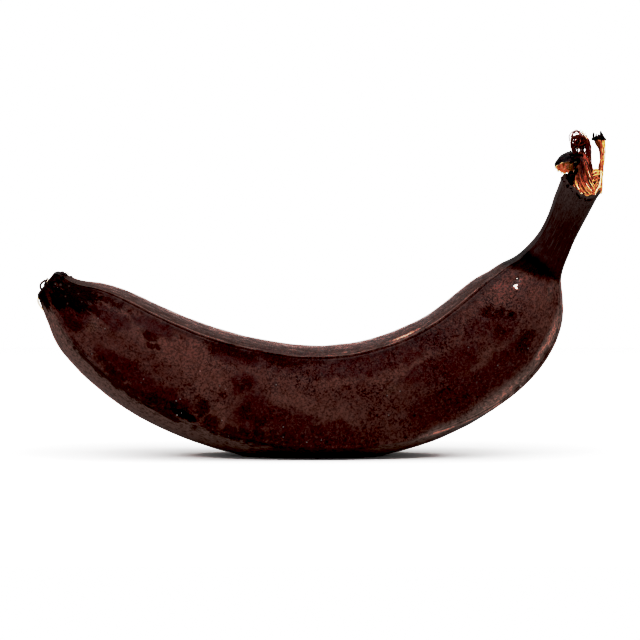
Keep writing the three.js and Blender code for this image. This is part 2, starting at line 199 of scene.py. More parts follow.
# Withered flower threads at the blossom scar: thickness, tint, and where they pass, from the origin
SCAR_THREADS = [
    (0.75, 0.9, [
        (-106.2, -2.0, 70.6), (-107.6, -2.2, 70.2), (-108.8, -2.3, 68.9), (-108.7, -2.2, 67.4),
        (-107.6, -2.2, 66.6), (-106.9, -2.2, 67.6), (-107.0, -2.1, 69.2), (-105.9, -2.0, 71.4)]),
    (0.30, -0.1, [(-105.3, -3.4, 71.2), (-106.2, -3.8, 69.4), (-106.8, -4.0, 67.4), (-108.2, -3.8, 65.9)]),
    (0.50, -0.4, [
        (-108.6, -1.8, 65.6), (-109.7, -1.4, 63.6), (-109.8, -1.2, 61.9), (-108.9, -1.6, 60.0),
        (-107.6, -2.2, 58.4)]),
    (0.34, -0.1, [
        (-100.0, 1.0, 72.6), (-98.9, 1.0, 73.5), (-97.7, 1.0, 73.0), (-98.0, 1.0, 72.0), (-99.2, 1.0, 71.6)]),
    (0.50, 0.9, [(-97.8, 0.6, 71.2), (-96.8, 0.6, 71.9), (-96.0, 0.6, 71.4)]),
]

# ---------------------------------------------------------------- finer detail

BODY_RING = 0.84  # spacing of the skin's rings on the finger
STEM_RING = 0.42  # and on the stem
STEM_FROM = 222
CAP_STEPS = 4  # rings between two stations of an end
FACE_COLUMNS = [96, 48, 26, 26, 44]  # steps across each face between two ridges
CROWDING = 0.6  # how much closer they stand at the ridges: 0 is even
NOMINAL_RADIUS = 24  # of the finger, laid out straight, for the skin's patterns
BEAD_WIDTH = 1.0  # degrees from a ridge's line to the foot of its bead
CREASE_AT = 2.0  # degrees from a ridge's line to the crease beside it
CREASE_WIDTH = 0.8
RIDGE_STRENGTH = [1.0, 0.9, 0.6, 0.5, 0.8]  # of the bead and creases of each ridge
UPPER_CREASE = 0.7  # share of the crease on a ridge's inner side
RIDGE_STRETCH = 13  # from one stretch of strong bead to the next
RIDGE_REACH = 12  # degrees from a ridge within which the skin knows it
DIMPLE_SHARE = 0.35  # height of the smaller swellings, as a share of the lumps'
DIMPLE_SIZE_SHARE = 0.3
FOLD_STRETCH = 0.22  # of the folds of the dry ends: 1 would be round
INNER_FROM = math.cos(math.radians(RIDGES[0]))  # height in a round section where the inner face starts
OUTER_FROM = math.cos(math.radians(RIDGES[1]))  # and where the outer faces start
# The painted shade and highlight lines of the second ridge grow clear between these two
KEEN_FROM = 140  # distance along where the second ridge's lines grow clear
KEEN_TO = 172
RAGGED = 1.2  # how much the edges of small marks are eaten away
WANDER = 9  # how far a broad mark's edge wanders
SMALL_WANDER = 2.4  # and a small one's
NECK_FROM = 226.5  # distance along where the neck turns black
NECK_TO = 233.5  # and where the brown stem follows
STEM_PALE_FROM = 246  # from where the stem grows paler
TIP_TO = 5  # end of the black tip
NECK_FADES = 1 / 1.6  # of the neck's length, from its middle to where the black ends
NECK_SOLID = 1 / 6  # and to where it starts to fade
NECK_WIDENS = 0.1  # how much further the black reaches, for each millimetre towards the inner side
FACE_EDGE = 0.01  # half width of the edge between two faces' colours, as a share of the section's height
SPECKS_LEFT = 0.12  # the least share of the specks that any part of the skin keeps
LEAST_WAX = 0.03
DUST_SPACING = 6.5
DUST_SIZE = 0.32
DUST_STRENGTH = 0.2

# How shrivelled the skin is: distance along, share. The tip and the stem are most.
DRYNESS = [(-1, 1.0), (5, 0.9), (16, 0.25), (30, 0.06), (205, 0.06), (222, 0.3), (232, 0.7), (263, 1.0)]

# The second ridge doesn't stay in its place: distance along, degrees round
SECOND_RIDGE = [
    (0, 118), (10, 120.5), (40, 121.5), (80, 122.5), (110, 125), (140, 131), (165, 139), (186, 146),
    (210, 147), (224, 140), (263, 138),
]
FACE_BEFORE = RIDGES[1] - RIDGES[0]  # the faces on either side of the second ridge, which shift with it
FACE_AFTER = RIDGES[2] - RIDGES[1]

# Painted shade and painted highlight beside every ridge: degrees from it, half width in degrees, how strong,
# which colour
# The dark lines are painted shade in the creases and a broad painted shadow band beside the ridge; the pale
# line is a painted highlight on the bead
RIDGE_SHADE_AND_HIGHLIGHT = [
    (4.5, 4.5, 0.5, "dark"), (-3.6, 0.5, 0.5, "dark"), (-2.7, 0.6, 0.4, "line"), (-1.6, 0.6, 0.8, "dark"),
    (0.0, 0.8, 0.7, "line"), (1.5, 0.9, 0.95, "dark"), (3.4, 0.5, 0.5, "dark"),
]

# Dents in the skin: distance along, degrees round, reach, depth
DENTS = [
    (222.6, 63.0, 1.5, 0.75), (220.8, 66.0, 1.9, 0.9), (219.0, 67.5, 1.1, 0.4), (221.5, 65.0, 4.5, 0.5),
    (208.5, 82, 2.0, 0.8), (200.0, 62, 3.4, 0.4), (197.5, 97, 3.0, 0.4), (207.0, 119, 5.0, 0.5),
    (71.0, 116, 3.5, 0.5), (34.0, 88, 6.0, 0.6), (226.5, 118, 5.0, 0.8), (150.0, 232, 5.0, 0.7),
    (90.0, 292, 4.0, 0.5), (205.0, 300, 4.0, 0.6),
]

# Marks on the skin by kind: distance along, degrees round, half length, half width
MARKS = {
    "pale": [
        (40, 255, 12, 8), (60, 64, 24, 9), (74, 78, 12, 8), (82, 110, 5, 5), (90, 240, 24, 9),
        (110, 83, 11, 5), (119, 93, 12, 5), (127, 103, 11, 6), (128, 64, 12, 4), (140, 332, 20, 6),
        (150, 68, 12, 4), (164, 60, 12, 5), (180, 290, 20, 9), (181, 92, 8, 3), (192, 98, 11, 6),
        (214, 128, 6, 4), (215, 58, 9, 8), (219, 112, 5, 6), (221, 96, 4, 6), (224, 70, 4, 6),
    ],
    # Painted sheen: painted highlight on the inner face by the upper ridge and on the neck, painted
    # reflection of the floor along the lower edge
    "painted_sheen": [
        (162, 140, 16, 4), (164, 33, 13, 2.2), (184, 142, 34, 5), (208, 140, 18, 3.5), (232, 34, 5, 5),
    ],
    "red": [
        (14, 96, 9, 12), (27, 68, 12, 6), (43, 107, 18, 5), (44, 52, 14, 4), (62, 112, 14, 5),
        (86, 50, 20, 4), (89, 74, 7, 5), (95, 100, 9, 13), (104, 42, 26, 6), (104, 102, 9, 6),
        (112, 110, 12, 7), (118, 144, 24, 8), (120, 300, 26, 8), (121, 132, 24, 6), (124, 116, 14, 6),
        (150, 52, 46, 6), (166, 78, 14, 6), (170, 112, 22, 7), (176, 84, 18, 8), (178, 124, 34, 3),
        (194, 112, 16, 7), (197, 66, 12, 5), (200, 250, 16, 8), (202, 84, 9, 8),
    ],
    # Dark: bruises; those at 46 to 50 degrees, close under the upper ridge, are painted shade below it
    "dark": [
        (17, 106, 7, 5), (18, 290, 14, 10), (20, 72, 4, 3.4), (20, 200, 14, 12), (24, 50, 12, 2.4),
        (38, 125, 30, 3.2), (40, 117, 12, 2.8), (45, 61, 5, 2.6), (49, 69, 4, 2.2), (54, 118, 12, 2.8),
        (60, 290, 16, 5), (62, 126, 22, 3.0), (67, 117, 9, 3.6), (75.5, 110, 4, 4.5), (80, 117, 5, 4),
        (84, 46, 22, 3.0), (90, 74, 4, 3), (92.5, 100, 3.5, 5), (95, 124, 24, 4.2), (97, 108, 4, 3.6),
        (104, 46, 14, 2.4), (120, 240, 24, 6), (160, 345, 20, 4), (190, 160, 46, 9), (190, 205, 14, 7),
        (200, 85, 3, 3), (203.5, 63, 4, 2.0), (205, 116, 6, 6.0), (206, 71, 4, 2.6), (208, 81, 4, 3.4),
    ],
    "black": [
        (2, 128, 6, 9), (6, 100, 7, 8), (7, 84, 9, 10), (10, 56, 14, 13), (10, 77, 14, 13),
        (71, 119, 8, 1.7), (84, 262, 8, 3), (150, 222, 10, 3), (208.5, 82, 1.1, 1.2), (212, 312, 7, 4),
        (222.6, 62, 1.0, 0.9),
    ],
    "tan": [
        (22.5, 92, 5, 4.5), (23, 64, 5, 4), (150, 82, 5, 3), (222, 250, 5, 4), (223, 120, 4, 4),
        (227, 134, 4.5, 2.6),
    ],
    "ash": [
        (3.2, 60, 0.8, 2.6), (6.2, 51, 0.6, 1.6), (7.6, 79, 0.6, 1.6), (10.0, 90, 0.6, 1.5),
        (11.0, 58, 0.5, 1.2), (14.0, 70, 0.5, 1.0),
    ],
    "shiny": [
        (221.5, 65, 3.2, 2.6),
    ],
    # Painted highlight: small white spots on the lit lip of the dent by the neck
    "latex": [
        (219.4, 69.5, 0.6, 1.2), (220.2, 66.0, 1.0, 1.2), (222.6, 61.0, 0.5, 0.5),
    ],
    "grains": [
        (51.2, 106, 0.22, 0.28), (65.8, 110.5, 0.38, 0.28), (66.9, 107.5, 0.26, 0.35),
        (68, 121, 0.38, 0.32), (69.2, 118.5, 0.22, 0.24), (79.8, 81.5, 0.26, 0.21), (82.4, 83, 0.22, 0.28),
        (87.8, 126, 0.26, 0.28), (102.5, 68.5, 0.26, 0.32), (107, 110, 0.3, 0.28),
        (115.8, 122.5, 0.26, 0.28), (121, 121, 0.26, 0.24), (193.2, 145, 0.38, 0.42),
        (203, 123, 0.26, 0.35),
    ],
}

# What the skin tells its material: the place laid out straight, degrees off a ridge, height in the section,
# whether a ridge is close, and how dry it is
SKIN_KNOWS = ("place", "off", "high", "close", "dry")
DETAIL_SEED = 4  # of everything that is drawn or scattered
FIBRE_POINTS = 30  # along a fibre
FIBRE_SIDES = 6
VOXEL = 0.2  # of the melted lumps

# ---------------------------------------------------------------- stage

SENSOR = 36  # width of the camera's
AIM = (2.8, 0, 54.5)  # the middle of the picture
FARTHEST_SEEN = 50  # metres
FLOOR_HALF = (0.9, 0.4)  # metres
FLOOR_MIDDLE = (0, 0.1, 0)  # metres
LAMP_PLACE = (0, -0.4, 1.1)  # metres, and it looks at the origin
LAMP_SIZE = (3.0, 1.4)  # metres
LAMP_POWER = 26  # watts
ROOM_LIGHT = 0.4  # of the white tent round the fruit, in front
BACKDROP_LIGHT = 0.85  # and behind
FILM_BLACK = 0.014  # light that the film shows as black
FILM_CURVE = [(0.1, 0.105), (0.18, 0.42), (0.3, 0.66), (0.6, 0.86)]  # light in, light shown


def linear(code):
    """An sRGB hex colour as linear red, green, blue and alpha."""
    channels = [int(code[i:i + 2], 16) / 255 for i in (1, 3, 5)]
    return (*(c / 12.92 if c <= 0.04045 else ((c + 0.055) / 1.055) ** 2.4 for c in channels), 1.0)


# ---------------------------------------------------------------- what a user would change


def colour(name, description, code):
    """A colour that a user may change, from its sRGB hex code."""
    return bpy.props.FloatVectorProperty(
        name=name, description=description, default=linear(code), subtype="COLOR", size=4, min=0, max=1)


def length(name, description, millimetres):
    """A length that a user may change."""
    return bpy.props.FloatProperty(
        name=name, description=description, default=millimetres * MM, unit="LENGTH", subtype="DISTANCE",
        precision=5)


class PlantainPeelSettings(bpy.types.PropertyGroup):
    """Sizes and colours of the skin"""
    ripe: colour("Ripe", "The skin's commonest colour", "#4d2a26")
    pale: colour("Pale", "Patches that are less far gone", "#633f38")
    red: colour("Red", "Patches where the sap has run under the skin", "#3a1b1c")
    tan: colour("Tan", "The few patches that are hardly ripe", "#5f4036")
    # Also the colour of the painted shade beside the ridges
    dark: colour("Dark", "Bruises and the finest specks", "#211112")
    black: colour("Black", "The tip, the neck and the worst bruises", "#130b0b")
    inner: colour("Inner face", "The face between the upper ridges", "#3c251e")
    # Partly the inner face's own pale streaks, partly painted gloss highlight along them
    streak: colour("Streaks", "Pale lines along the inner face", "#65534b")
    # The painted highlight along each ridge's bead
    line: colour("Ridge line", "The pale line along a ridge", "#806a62")
    # The lower faces' paler, greyer tone: partly the skin's own, partly a painted reflection of the floor
    outer: colour("Outer face", "The face below the lower ridges", "#80635b")
    # Colour of the painted sheen: highlight on the inner face and neck, reflection of the floor on the lower
    # edge
    painted_sheen: colour("Worn", "The palest, greyest places of the lower edge", "#947f75")
    stem: colour("Stem", "The dry stem", "#2f1d1c")
    ash: colour("Ash", "Flecks on the dry ends", "#4b3d3a")
    # Also the white of the painted highlight on the dent by the neck
    dust: colour("Dust", "Grains of dust and dried latex", "#d6cdc6")
    bead_height: length("Bead height", "Height of the raised line along each ridge", 0.28)
    crease_depth: length("Crease depth", "Depth of the creases beside a ridge", 0.18)
    lump_height: length("Lump height", "How much the flesh has sagged, up and down", 0.9)
    lump_size: length("Lump size", "From one lump to the next", 24)
    wrinkle_depth: length("Wrinkle depth", "Of the dried stem and tip", 0.9)
    wrinkle_spacing: length("Wrinkle spacing", "Round the straightened stem", 9.0)
    roughness: bpy.props.FloatProperty(
        name="Roughness", description="Of the waxy skin", default=0.36, min=0, max=1, subtype="FACTOR")


class PlantainFibreSettings(bpy.types.PropertyGroup):
    """Sizes and colours of the torn end"""
    cream: colour("Cream", "The palest dried fibre", "#e9d2b4")
    golden: colour("Golden", "Freshly dried fibre", "#c19264")
    brown: colour("Brown", "Fibre higher up the pith", "#8c5136")
    red: colour("Red", "Fibre soaked with sap", "#6b291f")
    dark: colour("Dark", "Slack fibre", "#1e0c0d")
    crust: colour("Crust", "Black sap", "#060304")
    plum: colour("Plum", "Where black sap is thin", "#271518")
    # Tan and rust are paler than the dried peel is: painted light over its own colour, against the shade in
    # the hollow
    tan: colour("Tan", "Inside of the curled scale", "#ffdcb4")
    rust: colour("Rust", "Its darker parts", "#e89a62")
    thickness: length("Fibre thickness", "Of one torn fibre", FIBRE_THICKNESS)
    spread: length("Spread", "Of the fibres that follow one line", 0.55)
    wobble: length("Wobble size", "From one bend of a fibre to the next", 2.6)


class PlantainStageSettings(bpy.types.PropertyGroup):
    """Camera, light and floor"""
    distance: length("Camera distance", "From the lens to the fruit", 1422)
    elevation: bpy.props.FloatProperty(
        name="Camera elevation", description="Above level", default=math.radians(4.5), subtype="ANGLE")
    width: length("Picture width", "What the picture spans at the fruit", 256)
    floor: colour("Floor", "Matt white paper", "#efefef")
    bounce: colour("Floor's bounce", "What the paper throws back on the fruit", "#aaaaaa")


# ---------------------------------------------------------------- nodes


def plug(tree, value, socket):
    """Set a socket, or link it to a node's first output or to another socket."""
    if isinstance(value, bpy.types.Node):
        value = next(output for output in value.outputs if output.enabled)
    if isinstance(value, bpy.types.NodeSocket):
        tree.links.new(value, socket)
    else:
        socket.default_value = value


def add(tree, kind, links=(), **settings):
    """Add a node with its settings, and set or link its inputs: some by name, or the first few in order."""
    node = tree.nodes.new(kind)
    for name, value in settings.items():
        setattr(node, name, value)
    sockets = [socket for socket in node.inputs if socket.enabled]
    if isinstance(links, dict):
        for name, value in links.items():
            plug(tree, value, next(socket for socket in sockets if socket.name == name))
    else:
        for socket, value in zip(sockets, links):
            plug(tree, value, socket)
    return node


def new_tree(name, sockets):
    """A geometry node tree with a geometry in and out, and the named inputs."""
    tree = bpy.data.node_groups.new(name, "GeometryNodeTree")
    tree.interface.new_socket(name="Geometry", in_out="INPUT", socket_type="NodeSocketGeometry")
    for socket, kind in sockets.items():
        tree.interface.new_socket(name=socket, in_out="INPUT", socket_type="NodeSocket" + kind)
    tree.interface.new_socket(name="Geometry", in_out="OUTPUT", socket_type="NodeSocketGeometry")
    return tree, add(tree, "NodeGroupInput").outputs


def finish_tree(tree, geometry, material):
    """End a tree: instances made real, smooth faces, the material."""
    real = add(tree, "GeometryNodeRealizeInstances", {"Geometry": geometry})
    smooth = add(tree, "GeometryNodeSetShadeSmooth", {"Geometry": real})
    dressed = add(tree, "GeometryNodeSetMaterial", {"Geometry": smooth, "Material": material})
    add(tree, "NodeGroupOutput", {"Geometry": dressed})


def grow(name, base, tree, values):
    """Run a tree on a mesh, and keep what it makes as a plain mesh object."""
    carrier = link(name + "_rail", base)
    modifier = carrier.modifiers.new("Growth", "NODES")
    modifier.node_group = tree
    for item in tree.interface.items_tree:
        if item.in_out == "INPUT" and item.name in values:
            modifier[item.identifier] = values[item.name]
    grown = carrier.evaluated_get(bpy.context.evaluated_depsgraph_get())
    mesh = bpy.data.meshes.new_from_object(grown)
    if not mesh.polygons:
        raise RuntimeError("nothing grew for " + name)
    mesh.name = name
    bpy.data.objects.remove(carrier)
    return link(name, mesh)


def link(name, data):
    """A new object at the origin, in the scene."""
    thing = bpy.data.objects.new(name, data)
    bpy.context.scene.collection.objects.link(thing)
    return thing


def line_mesh(name, lines, attributes):
    """Points joined along lines, with a list of numbers or vectors for each named attribute."""
    mesh = bpy.data.meshes.new(name)
    points = [point for line in lines for point in line]
    edges = []
    start = 0
    for line in lines:
        edges += [(start + i, start + i + 1) for i in range(len(line) - 1)]
        start += len(line)
    mesh.from_pydata(points, edges, [])
    for key, values in attributes.items():
        if isinstance(values[0], Vector):
            flat = [number for vector in values for number in vector]
            mesh.attributes.new(key, "FLOAT_VECTOR", "POINT").data.foreach_set("vector", flat)
        else:
            mesh.attributes.new(key, "FLOAT", "POINT").data.foreach_set("value", values)
    return mesh


def by_name(rows):
    """Rows of named values as one list for each name."""
    return {name: [row[name] for row in rows] for name in rows[0]}


def settle(piece):
    """Hang a piece on the frame's body, and hide the solid that it stands for."""
    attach(piece, BODY)
    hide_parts(NODE)


# ---------------------------------------------------------------- the form


def mix(low, high, share):
    """From low to high, by a share."""
    return low + (high - low) * share


def between(stations, at):
    """The row of a table at a place along it, on straight lines from station to station."""
    for low, high in zip(stations, stations[1:]):
        if at <= high[0]:
            share = (at - low[0]) / (high[0] - low[0])
            return [mix(a, b, share) for a, b in zip(low, high)]
    return list(stations[-1])


def slopes():
    """The girths' slopes at their stations, for a smooth curve through them."""
    rows = []
    for low, high in zip([GIRTH[0], *GIRTH], [*GIRTH[1:], GIRTH[-1]]):
        rows.append([(high[k] - low[k]) / (high[0] - low[0]) for k in (1, 2, 3)])
    return rows


GIRTH_SLOPES = slopes()


def girth_at(along):
    """Half sizes to the inner curve, the outer curve and the sides."""
    i = next((i for i in range(len(GIRTH) - 1) if along <= GIRTH[i + 1][0]), len(GIRTH) - 2)
    low, high = GIRTH[i], GIRTH[i + 1]
    span = high[0] - low[0]
    t = (along - low[0]) / span
    rise = 3 * t * t - 2 * t * t * t
    leave = (t * t * t - 2 * t * t + t) * span
    arrive = (t * t * t - t * t) * span
    return [
        mix(low[k + 1], high[k + 1], rise) + leave * GIRTH_SLOPES[i][k] + arrive * GIRTH_SLOPES[i + 1][k]
        for k in range(3)
    ]


def heading_at(along):
    """The spine's heading above level, in radians."""
    heading = BLOSSOM_HEADING
    start = 0
    for run, turn in SPINE_RUNS:
        heading += turn * min(max((along - start) / run, 0), 1)
        start += run
    return math.radians(heading)


def spine_at(along):
    """A place on the spine, summed in short steps from the flat spot's."""
    step = (along - REST_ALONG) / SPINE_STEPS
    place = Vector((0, 0, REST_HEIGHT))
    for i in range(SPINE_STEPS):
        heading = heading_at(REST_ALONG + (i + 0.5) * step)
        place += Vector((math.cos(heading), 0, math.sin(heading))) * step
    return place


def axes_at(along):
    """Unit vectors along the spine and across it to the inner curve."""
    heading = heading_at(along)
    level, rise = math.cos(heading), math.sin(heading)
    return Vector((level, 0, rise)), Vector((-rise, 0, level))


def section_share(angle):
    """The section's radius as a share of the half sizes: five bowed faces."""
    for start, end in FACES:
        turned = (angle - start) % 360
        if turned <= end - start:
            half = math.radians((end - start) / 2)
            flat = math.cos(half) / math.cos(math.radians(turned) - half)
            return mix(1, flat, ANGULARITY)
    raise ValueError("no face at this angle")


def torn_edge(angle):
    """How far the torn rim stands past the end of the spine."""
    a = math.radians(angle)
    ragged = math.sin(5 * a + 1) + 0.6 * math.sin(11 * a) + 0.5 * math.sin(17 * a + 2)
    inner = TORN_INNER * max(0, math.cos(a)) ** 1.5
    outer = TORN_OUTER * max(0, -math.cos(a)) ** 3
    return inner + outer + TORN_ROUGHNESS * ragged / 2


def skin_point(along, angle, wide=1.0, torn=0.0):
    """A place on the plain skin."""
    inner, outer, side = girth_at(along)
    forward, inwards = axes_at(along)
    a = math.radians(angle)
    share = section_share(angle) * wide
    point = spine_at(along) + inwards * math.cos(a) * share * (inner if math.cos(a) > 0 else outer)
    point += forward * torn_edge(angle) * torn
    point.y -= math.sin(a) * share * side
    point.z = max(point.z, 0)
    return point


TORN_MIDDLE = spine_at(SPINE_LENGTH)
STEM_AXIS = axes_at(SPINE_LENGTH)[0]


def rim_point(angle, wide):
    """A place on the torn end, at a share of the rim's width, from its middle."""
    return skin_point(SPINE_LENGTH, angle, wide, 1) - TORN_MIDDLE


class Draws:
    """A repeatable draw of numbers."""

    def __init__(self, seed):
        self.state = seed

    def __call__(self, low=0.0, high=1.0):
        self.state = (self.state * 1664525 + 1013904223) % 4294967296
        return low + (high - low) * self.state / 4294967296


def on_pith(turn, height, over):
    """A place over the pith, turned from the front towards +X, from the middle of the torn end."""
    aside, radius = between(PITH, height)[1:]
    a = math.radians(turn)
    return Vector((aside + (radius + over) * math.sin(a), -(radius + over) * math.cos(a), height))


def fan_strands(draw):
    """Fibres from all round the torn rim, swept over the pith: places, tints and thickness."""
    strands = []
    for i in range(FAN_STRANDS):
        root = rim_point(360 * (i + draw(0, 0.9)) / FAN_STRANDS, draw(*FAN_ROOT))
        side = 1 if root.y < 0 else -1
        turn = math.degrees(math.atan2(root.x - between(PITH, root.z)[1], abs(root.y)))
        sweep = FAN_SWEEP * max(0, math.cos(math.radians(turn - FAN_SWEPT_FROM))) ** 0.5
        rise = draw(*FAN_RISE)
        off = draw(*FAN_TINT)
        line = [root - STEM_AXIS * STRAND_ROOT, root]
        tints = [FAN_TINT_FOOT + off, off]
        for share in FAN_STATIONS:
            up = rise * share
            turned = turn - sweep * (1 - math.exp(-up / FAN_EASE))
            place = on_pith(turned, root.z + up, FAN_OVER)
            place.y *= side
            line.append(root.lerp(place, min(1, share * 3)))
            past = max(0, FAN_TINT_FROM - turned)
            tints.append(off - FAN_TINT_BEND + FAN_TINT_RISE * up + FAN_TINT_TURN * past)
        strands.append((line, tints, draw(0.75, 1.25)))
    for _ in range(PITH_STRANDS):
        turn = draw(*PITH_STRANDS_TURN)
        foot = draw(*PITH_STRANDS_FOOT)
        line = [on_pith(turn - PITH_STRANDS_LEAN * k, foot + PITH_STRANDS_STEP * k, FAN_OVER * min(k, 1))
                for k in range(5)]
        strands.append((line, [draw(0.5, 1.0)] * len(line), draw(0.8, 1.3)))
    return strands


def net_strands(draw):
    """Wavy fibres from the outer rim and the pith to the strip's foot, and others along the rim."""
    strands = []
    for i in range(NET_STRANDS):
        share = draw()
        if i % 2:
            root = rim_point(mix(NET_FROM, NET_TO, share), draw(0.76, 0.88))
            top = Vector((draw(8.4, 9.5), draw(-0.6, 0.6), draw(8.5, 11.5)))
            line = [root - STEM_AXIS * STRAND_ROOT, root]
            swell = Vector((0.8, 0, 0))
        else:
            root = on_pith(draw(40, 85), draw(1.5, 9.5), 0)
            top = Vector((draw(8.2, 9.4), draw(-0.9, 0.3), min(root.z + draw(-0.5, 1.5), 11)))
            line = [root]
            swell = Vector((0, -0.6, 0.4))
        line += [root.lerp(top, part) + swell * math.sin(math.pi * part) for part in (0.25, 0.5, 0.75, 1)]
        strands.append((line, [draw(0.05, 0.5)] * len(line), draw(0.7, 1.1)))
    for _ in range(RIM_STRANDS):
        start = draw(*RIM_STRANDS_FROM)
        wide = draw(0.8, 0.92)
        up = draw(-0.2, 1.8)
        line = [rim_point(start + RIM_STRANDS_STEP * k, wide - 0.05 * up) + STEM_AXIS * (up + draw(-0.5, 0.5))
                for k in range(7)]
        strands.append((line, [draw(0.0, 0.45)] * len(line), draw(0.7, 1.1)))
    return strands


def strip_strands(draw):
    """The fibres of the strip that stands alone, side by side: cream at its outer edge, red at the other."""
    strands = []
    for i in range(STRIP_STRANDS):
        across = (i + draw(-0.3, 0.3)) / (STRIP_STRANDS - 1) - 0.5
        deep = draw(-0.3, 0.3) - STRIP_BOW * math.cos(math.pi * across)
        line = []
        tints = []
        for height, aside, width in STRIP:
            line.append(Vector((aside + across * width, deep, height)))
            off = draw(-STRIP_TINT_OFF, STRIP_TINT_OFF)
            darker = STRIP_DARKENS * max(0, height - STRIP_DARK_FROM) * (0.5 - across)
            tints.append(STRIP_TINT - STRIP_TINT_ACROSS * across + off + darker)
        strands.append((line, tints, draw(0.8, 1.2)))
    return strands


def slack_strands(draw):
    """The slack fibres above the pith: their legs, and the rings wound round an egg-shaped space."""
    strands = []
    for count, thick, tint, places in SLACK:
        for _ in range(count):
            aside = Vector((draw(-0.6, 0.6), draw(-0.5, 0.5), draw(-0.3, 0.3))) * min(1, count - 1)
            line = [Vector(place) + aside for place in places]
            tints = [tint + draw(-0.12, 0.08) for _ in places]
            strands.append((line, tints, thick / FIBRE_THICKNESS * draw(0.8, 1.15)))
    for _ in range(BALL_RINGS):
        axis = Vector((draw(-1, 1), draw(-1, 1), draw(-0.6, 0.6))).normalized()
        start = axis.orthogonal().normalized()
        across = axis.cross(start)
        first = draw(0, 2 * math.pi)
        long = draw(2.2, 5.2)
        size = draw(0.5, 1.0)
        shift = axis * draw(-0.4, 0.4)
        line = []
        for k in range(BALL_POINTS):
            a = first + long * k / (BALL_POINTS - 1)
            place = shift + (start * math.cos(a) + across * math.sin(a)) * size * draw(0.85, 1.1)
            line.append(Vector(BALL_MIDDLE) + Vector([c * r for c, r in zip(place, BALL_RADII)]))
        strands.append((line, [draw(0.66, 1.06)] * len(line), draw(0.8, 1.35)))
    return strands


def chain(near, near_size, far, far_size, step):
    """Lumps along a line, from one size to another."""
    near = Vector(near)
    far = Vector(far)
    count = max(2, math.ceil((far - near).length / step))
    return [(near.lerp(far, i / count), mix(near_size, far_size, i / count)) for i in range(count + 1)]


def pith_lumps():
    """The pith's own lumps up its middle, and the thin flesh at the strip's foot."""
    lumps = [(Vector(place), size) for place, size in WEB_LUMPS]
    for (low, low_aside, low_size), (high, high_aside, high_size) in zip(PITH, PITH[1:]):
        lumps += chain((low_aside, 0, low), low_size, (high_aside, 0, high), high_size, PITH_STEP)
    return lumps


def sap_lumps(draw):
    """Black sap: on the pith and, as an uneven collar, between it and the rim's inner side."""
    lumps = [(Vector(place), size) for place, size in SAP_LUMPS + BALL_LUMPS]
    for _ in range(COLLAR_LUMPS):
        angle = draw(*COLLAR_TURN)
        up = draw() ** 2
        rim = rim_point(angle, draw(0.72, 0.97))
        over = on_pith(math.degrees(math.atan2(rim.x - 2, -rim.y)), min(rim.z + 4, 9), 0)
        lumps.append((rim.lerp(over, up * 0.8), draw(0.45, 1.25) * mix(0.8, 1.25, up)))
    return lumps


def rim_lumps(draw):
    """Small black crumbs on the torn edge of the skin."""
    lumps = []
    for i in range(RIM_LUMPS):
        place = rim_point(360 * (i + draw()) / RIM_LUMPS, draw(0.9, 1.0))
        lumps.append((place + STEM_AXIS * draw(-0.6, 0.2), draw(0.22, 0.5)))
    return lumps


def head_lumps():
    """The ragged black head of the strip, spike by spike."""
    lumps = []
    for spike in HEAD_SPIKES:
        lumps += chain(*spike, HEAD_STEP)
    return lumps


def scar_lumps(draw):
    """Crumbs of dried flower on the blossom scar, from the origin."""
    lumps = []
    for i in range(SCAR_LUMPS):
        angle = draw(-180, 180)
        along = draw(0, 2.2)
        wide = 0.95 if i % 3 else draw(0.3, 0.9)
        lumps.append((skin_point(along, angle, wide), draw(0.45, 1.1)))
    return lumps


def scar_strands():
    """The withered flower's threads at the blossom scar, from the origin."""
    return [([Vector(place) for place in places], [tint] * len(places), thick / FIBRE_THICKNESS)
            for thick, tint, places in SCAR_THREADS]


def strand_mesh(name, strands, middle):
    """Guide lines in metres, with the tint and thickness of the fibre at each point."""
    points = [{"tint": tint, "thick": thick} for line, tints, thick in strands for tint in tints]
    return line_mesh(name, [[(middle + place) * MM for place in line] for line, tints, thick in strands],
                     by_name(points))


# ---------------------------------------------------------------- skin


def cap_rings(stations, along, way):
    """The rings of an end, from its rim to its middle: distance along, out, width, share of the torn rim."""
    rings = []
    for (out, wide), (next_out, next_wide) in zip(stations, stations[1:]):
        for i in range(1, CAP_STEPS + 1):
            t = i / CAP_STEPS
            width = mix(wide, next_wide, t)
            torn = min(max((width - TORN_FROM) / TORN_WHOLE, 0), 1) if way > 0 else 0
            rings.append((along, way * mix(out, next_out, t), width, torn))
    return rings


def skin_rings():
    """All rings, from the blossom scar to the torn end."""
    finger = [i * BODY_RING for i in range(int(STEM_FROM / BODY_RING) + 1)]
    count = round((SPINE_LENGTH - STEM_FROM) / STEM_RING)
    stem = [mix(STEM_FROM, SPINE_LENGTH, i / count) for i in range(1, count + 1)]
    shafts = [(s, 0, 1, max(0, 1 - (SPINE_LENGTH - s) / TORN_REACH)) for s in finger + stem]
    return [*reversed(cap_rings(BLOSSOM_CAP, 0, -1)), *shafts, *cap_rings(STEM_CAP, SPINE_LENGTH, 1)]


def rail_mesh():
    """The spine as a line of ring centres, with what each ring needs."""
    centres = []
    rings = []
    for along, out, wide, torn in skin_rings():
        forward, inwards = axes_at(along)
        inner, outer, side = girth_at(along)
        centres.append((spine_at(along) + forward * out * inner) * MM)
        past = (out + (1 - wide) * (1 if along > REST_ALONG else -1)) * inner
        rings.append({
            "forward": forward,
            "inwards": inwards,
            "half_sizes": Vector((inner * wide, outer * wide, side * wide)) * MM,
            "along": (along + past) * MM,
            "wide": wide,
            "torn": torn,
            "dry": between(DRYNESS, along)[1],
            "lean": math.radians(between(SECOND_RIDGE, along)[1] - RIDGES[1]),
        })
    return line_mesh("Rail", [centres], by_name(rings))


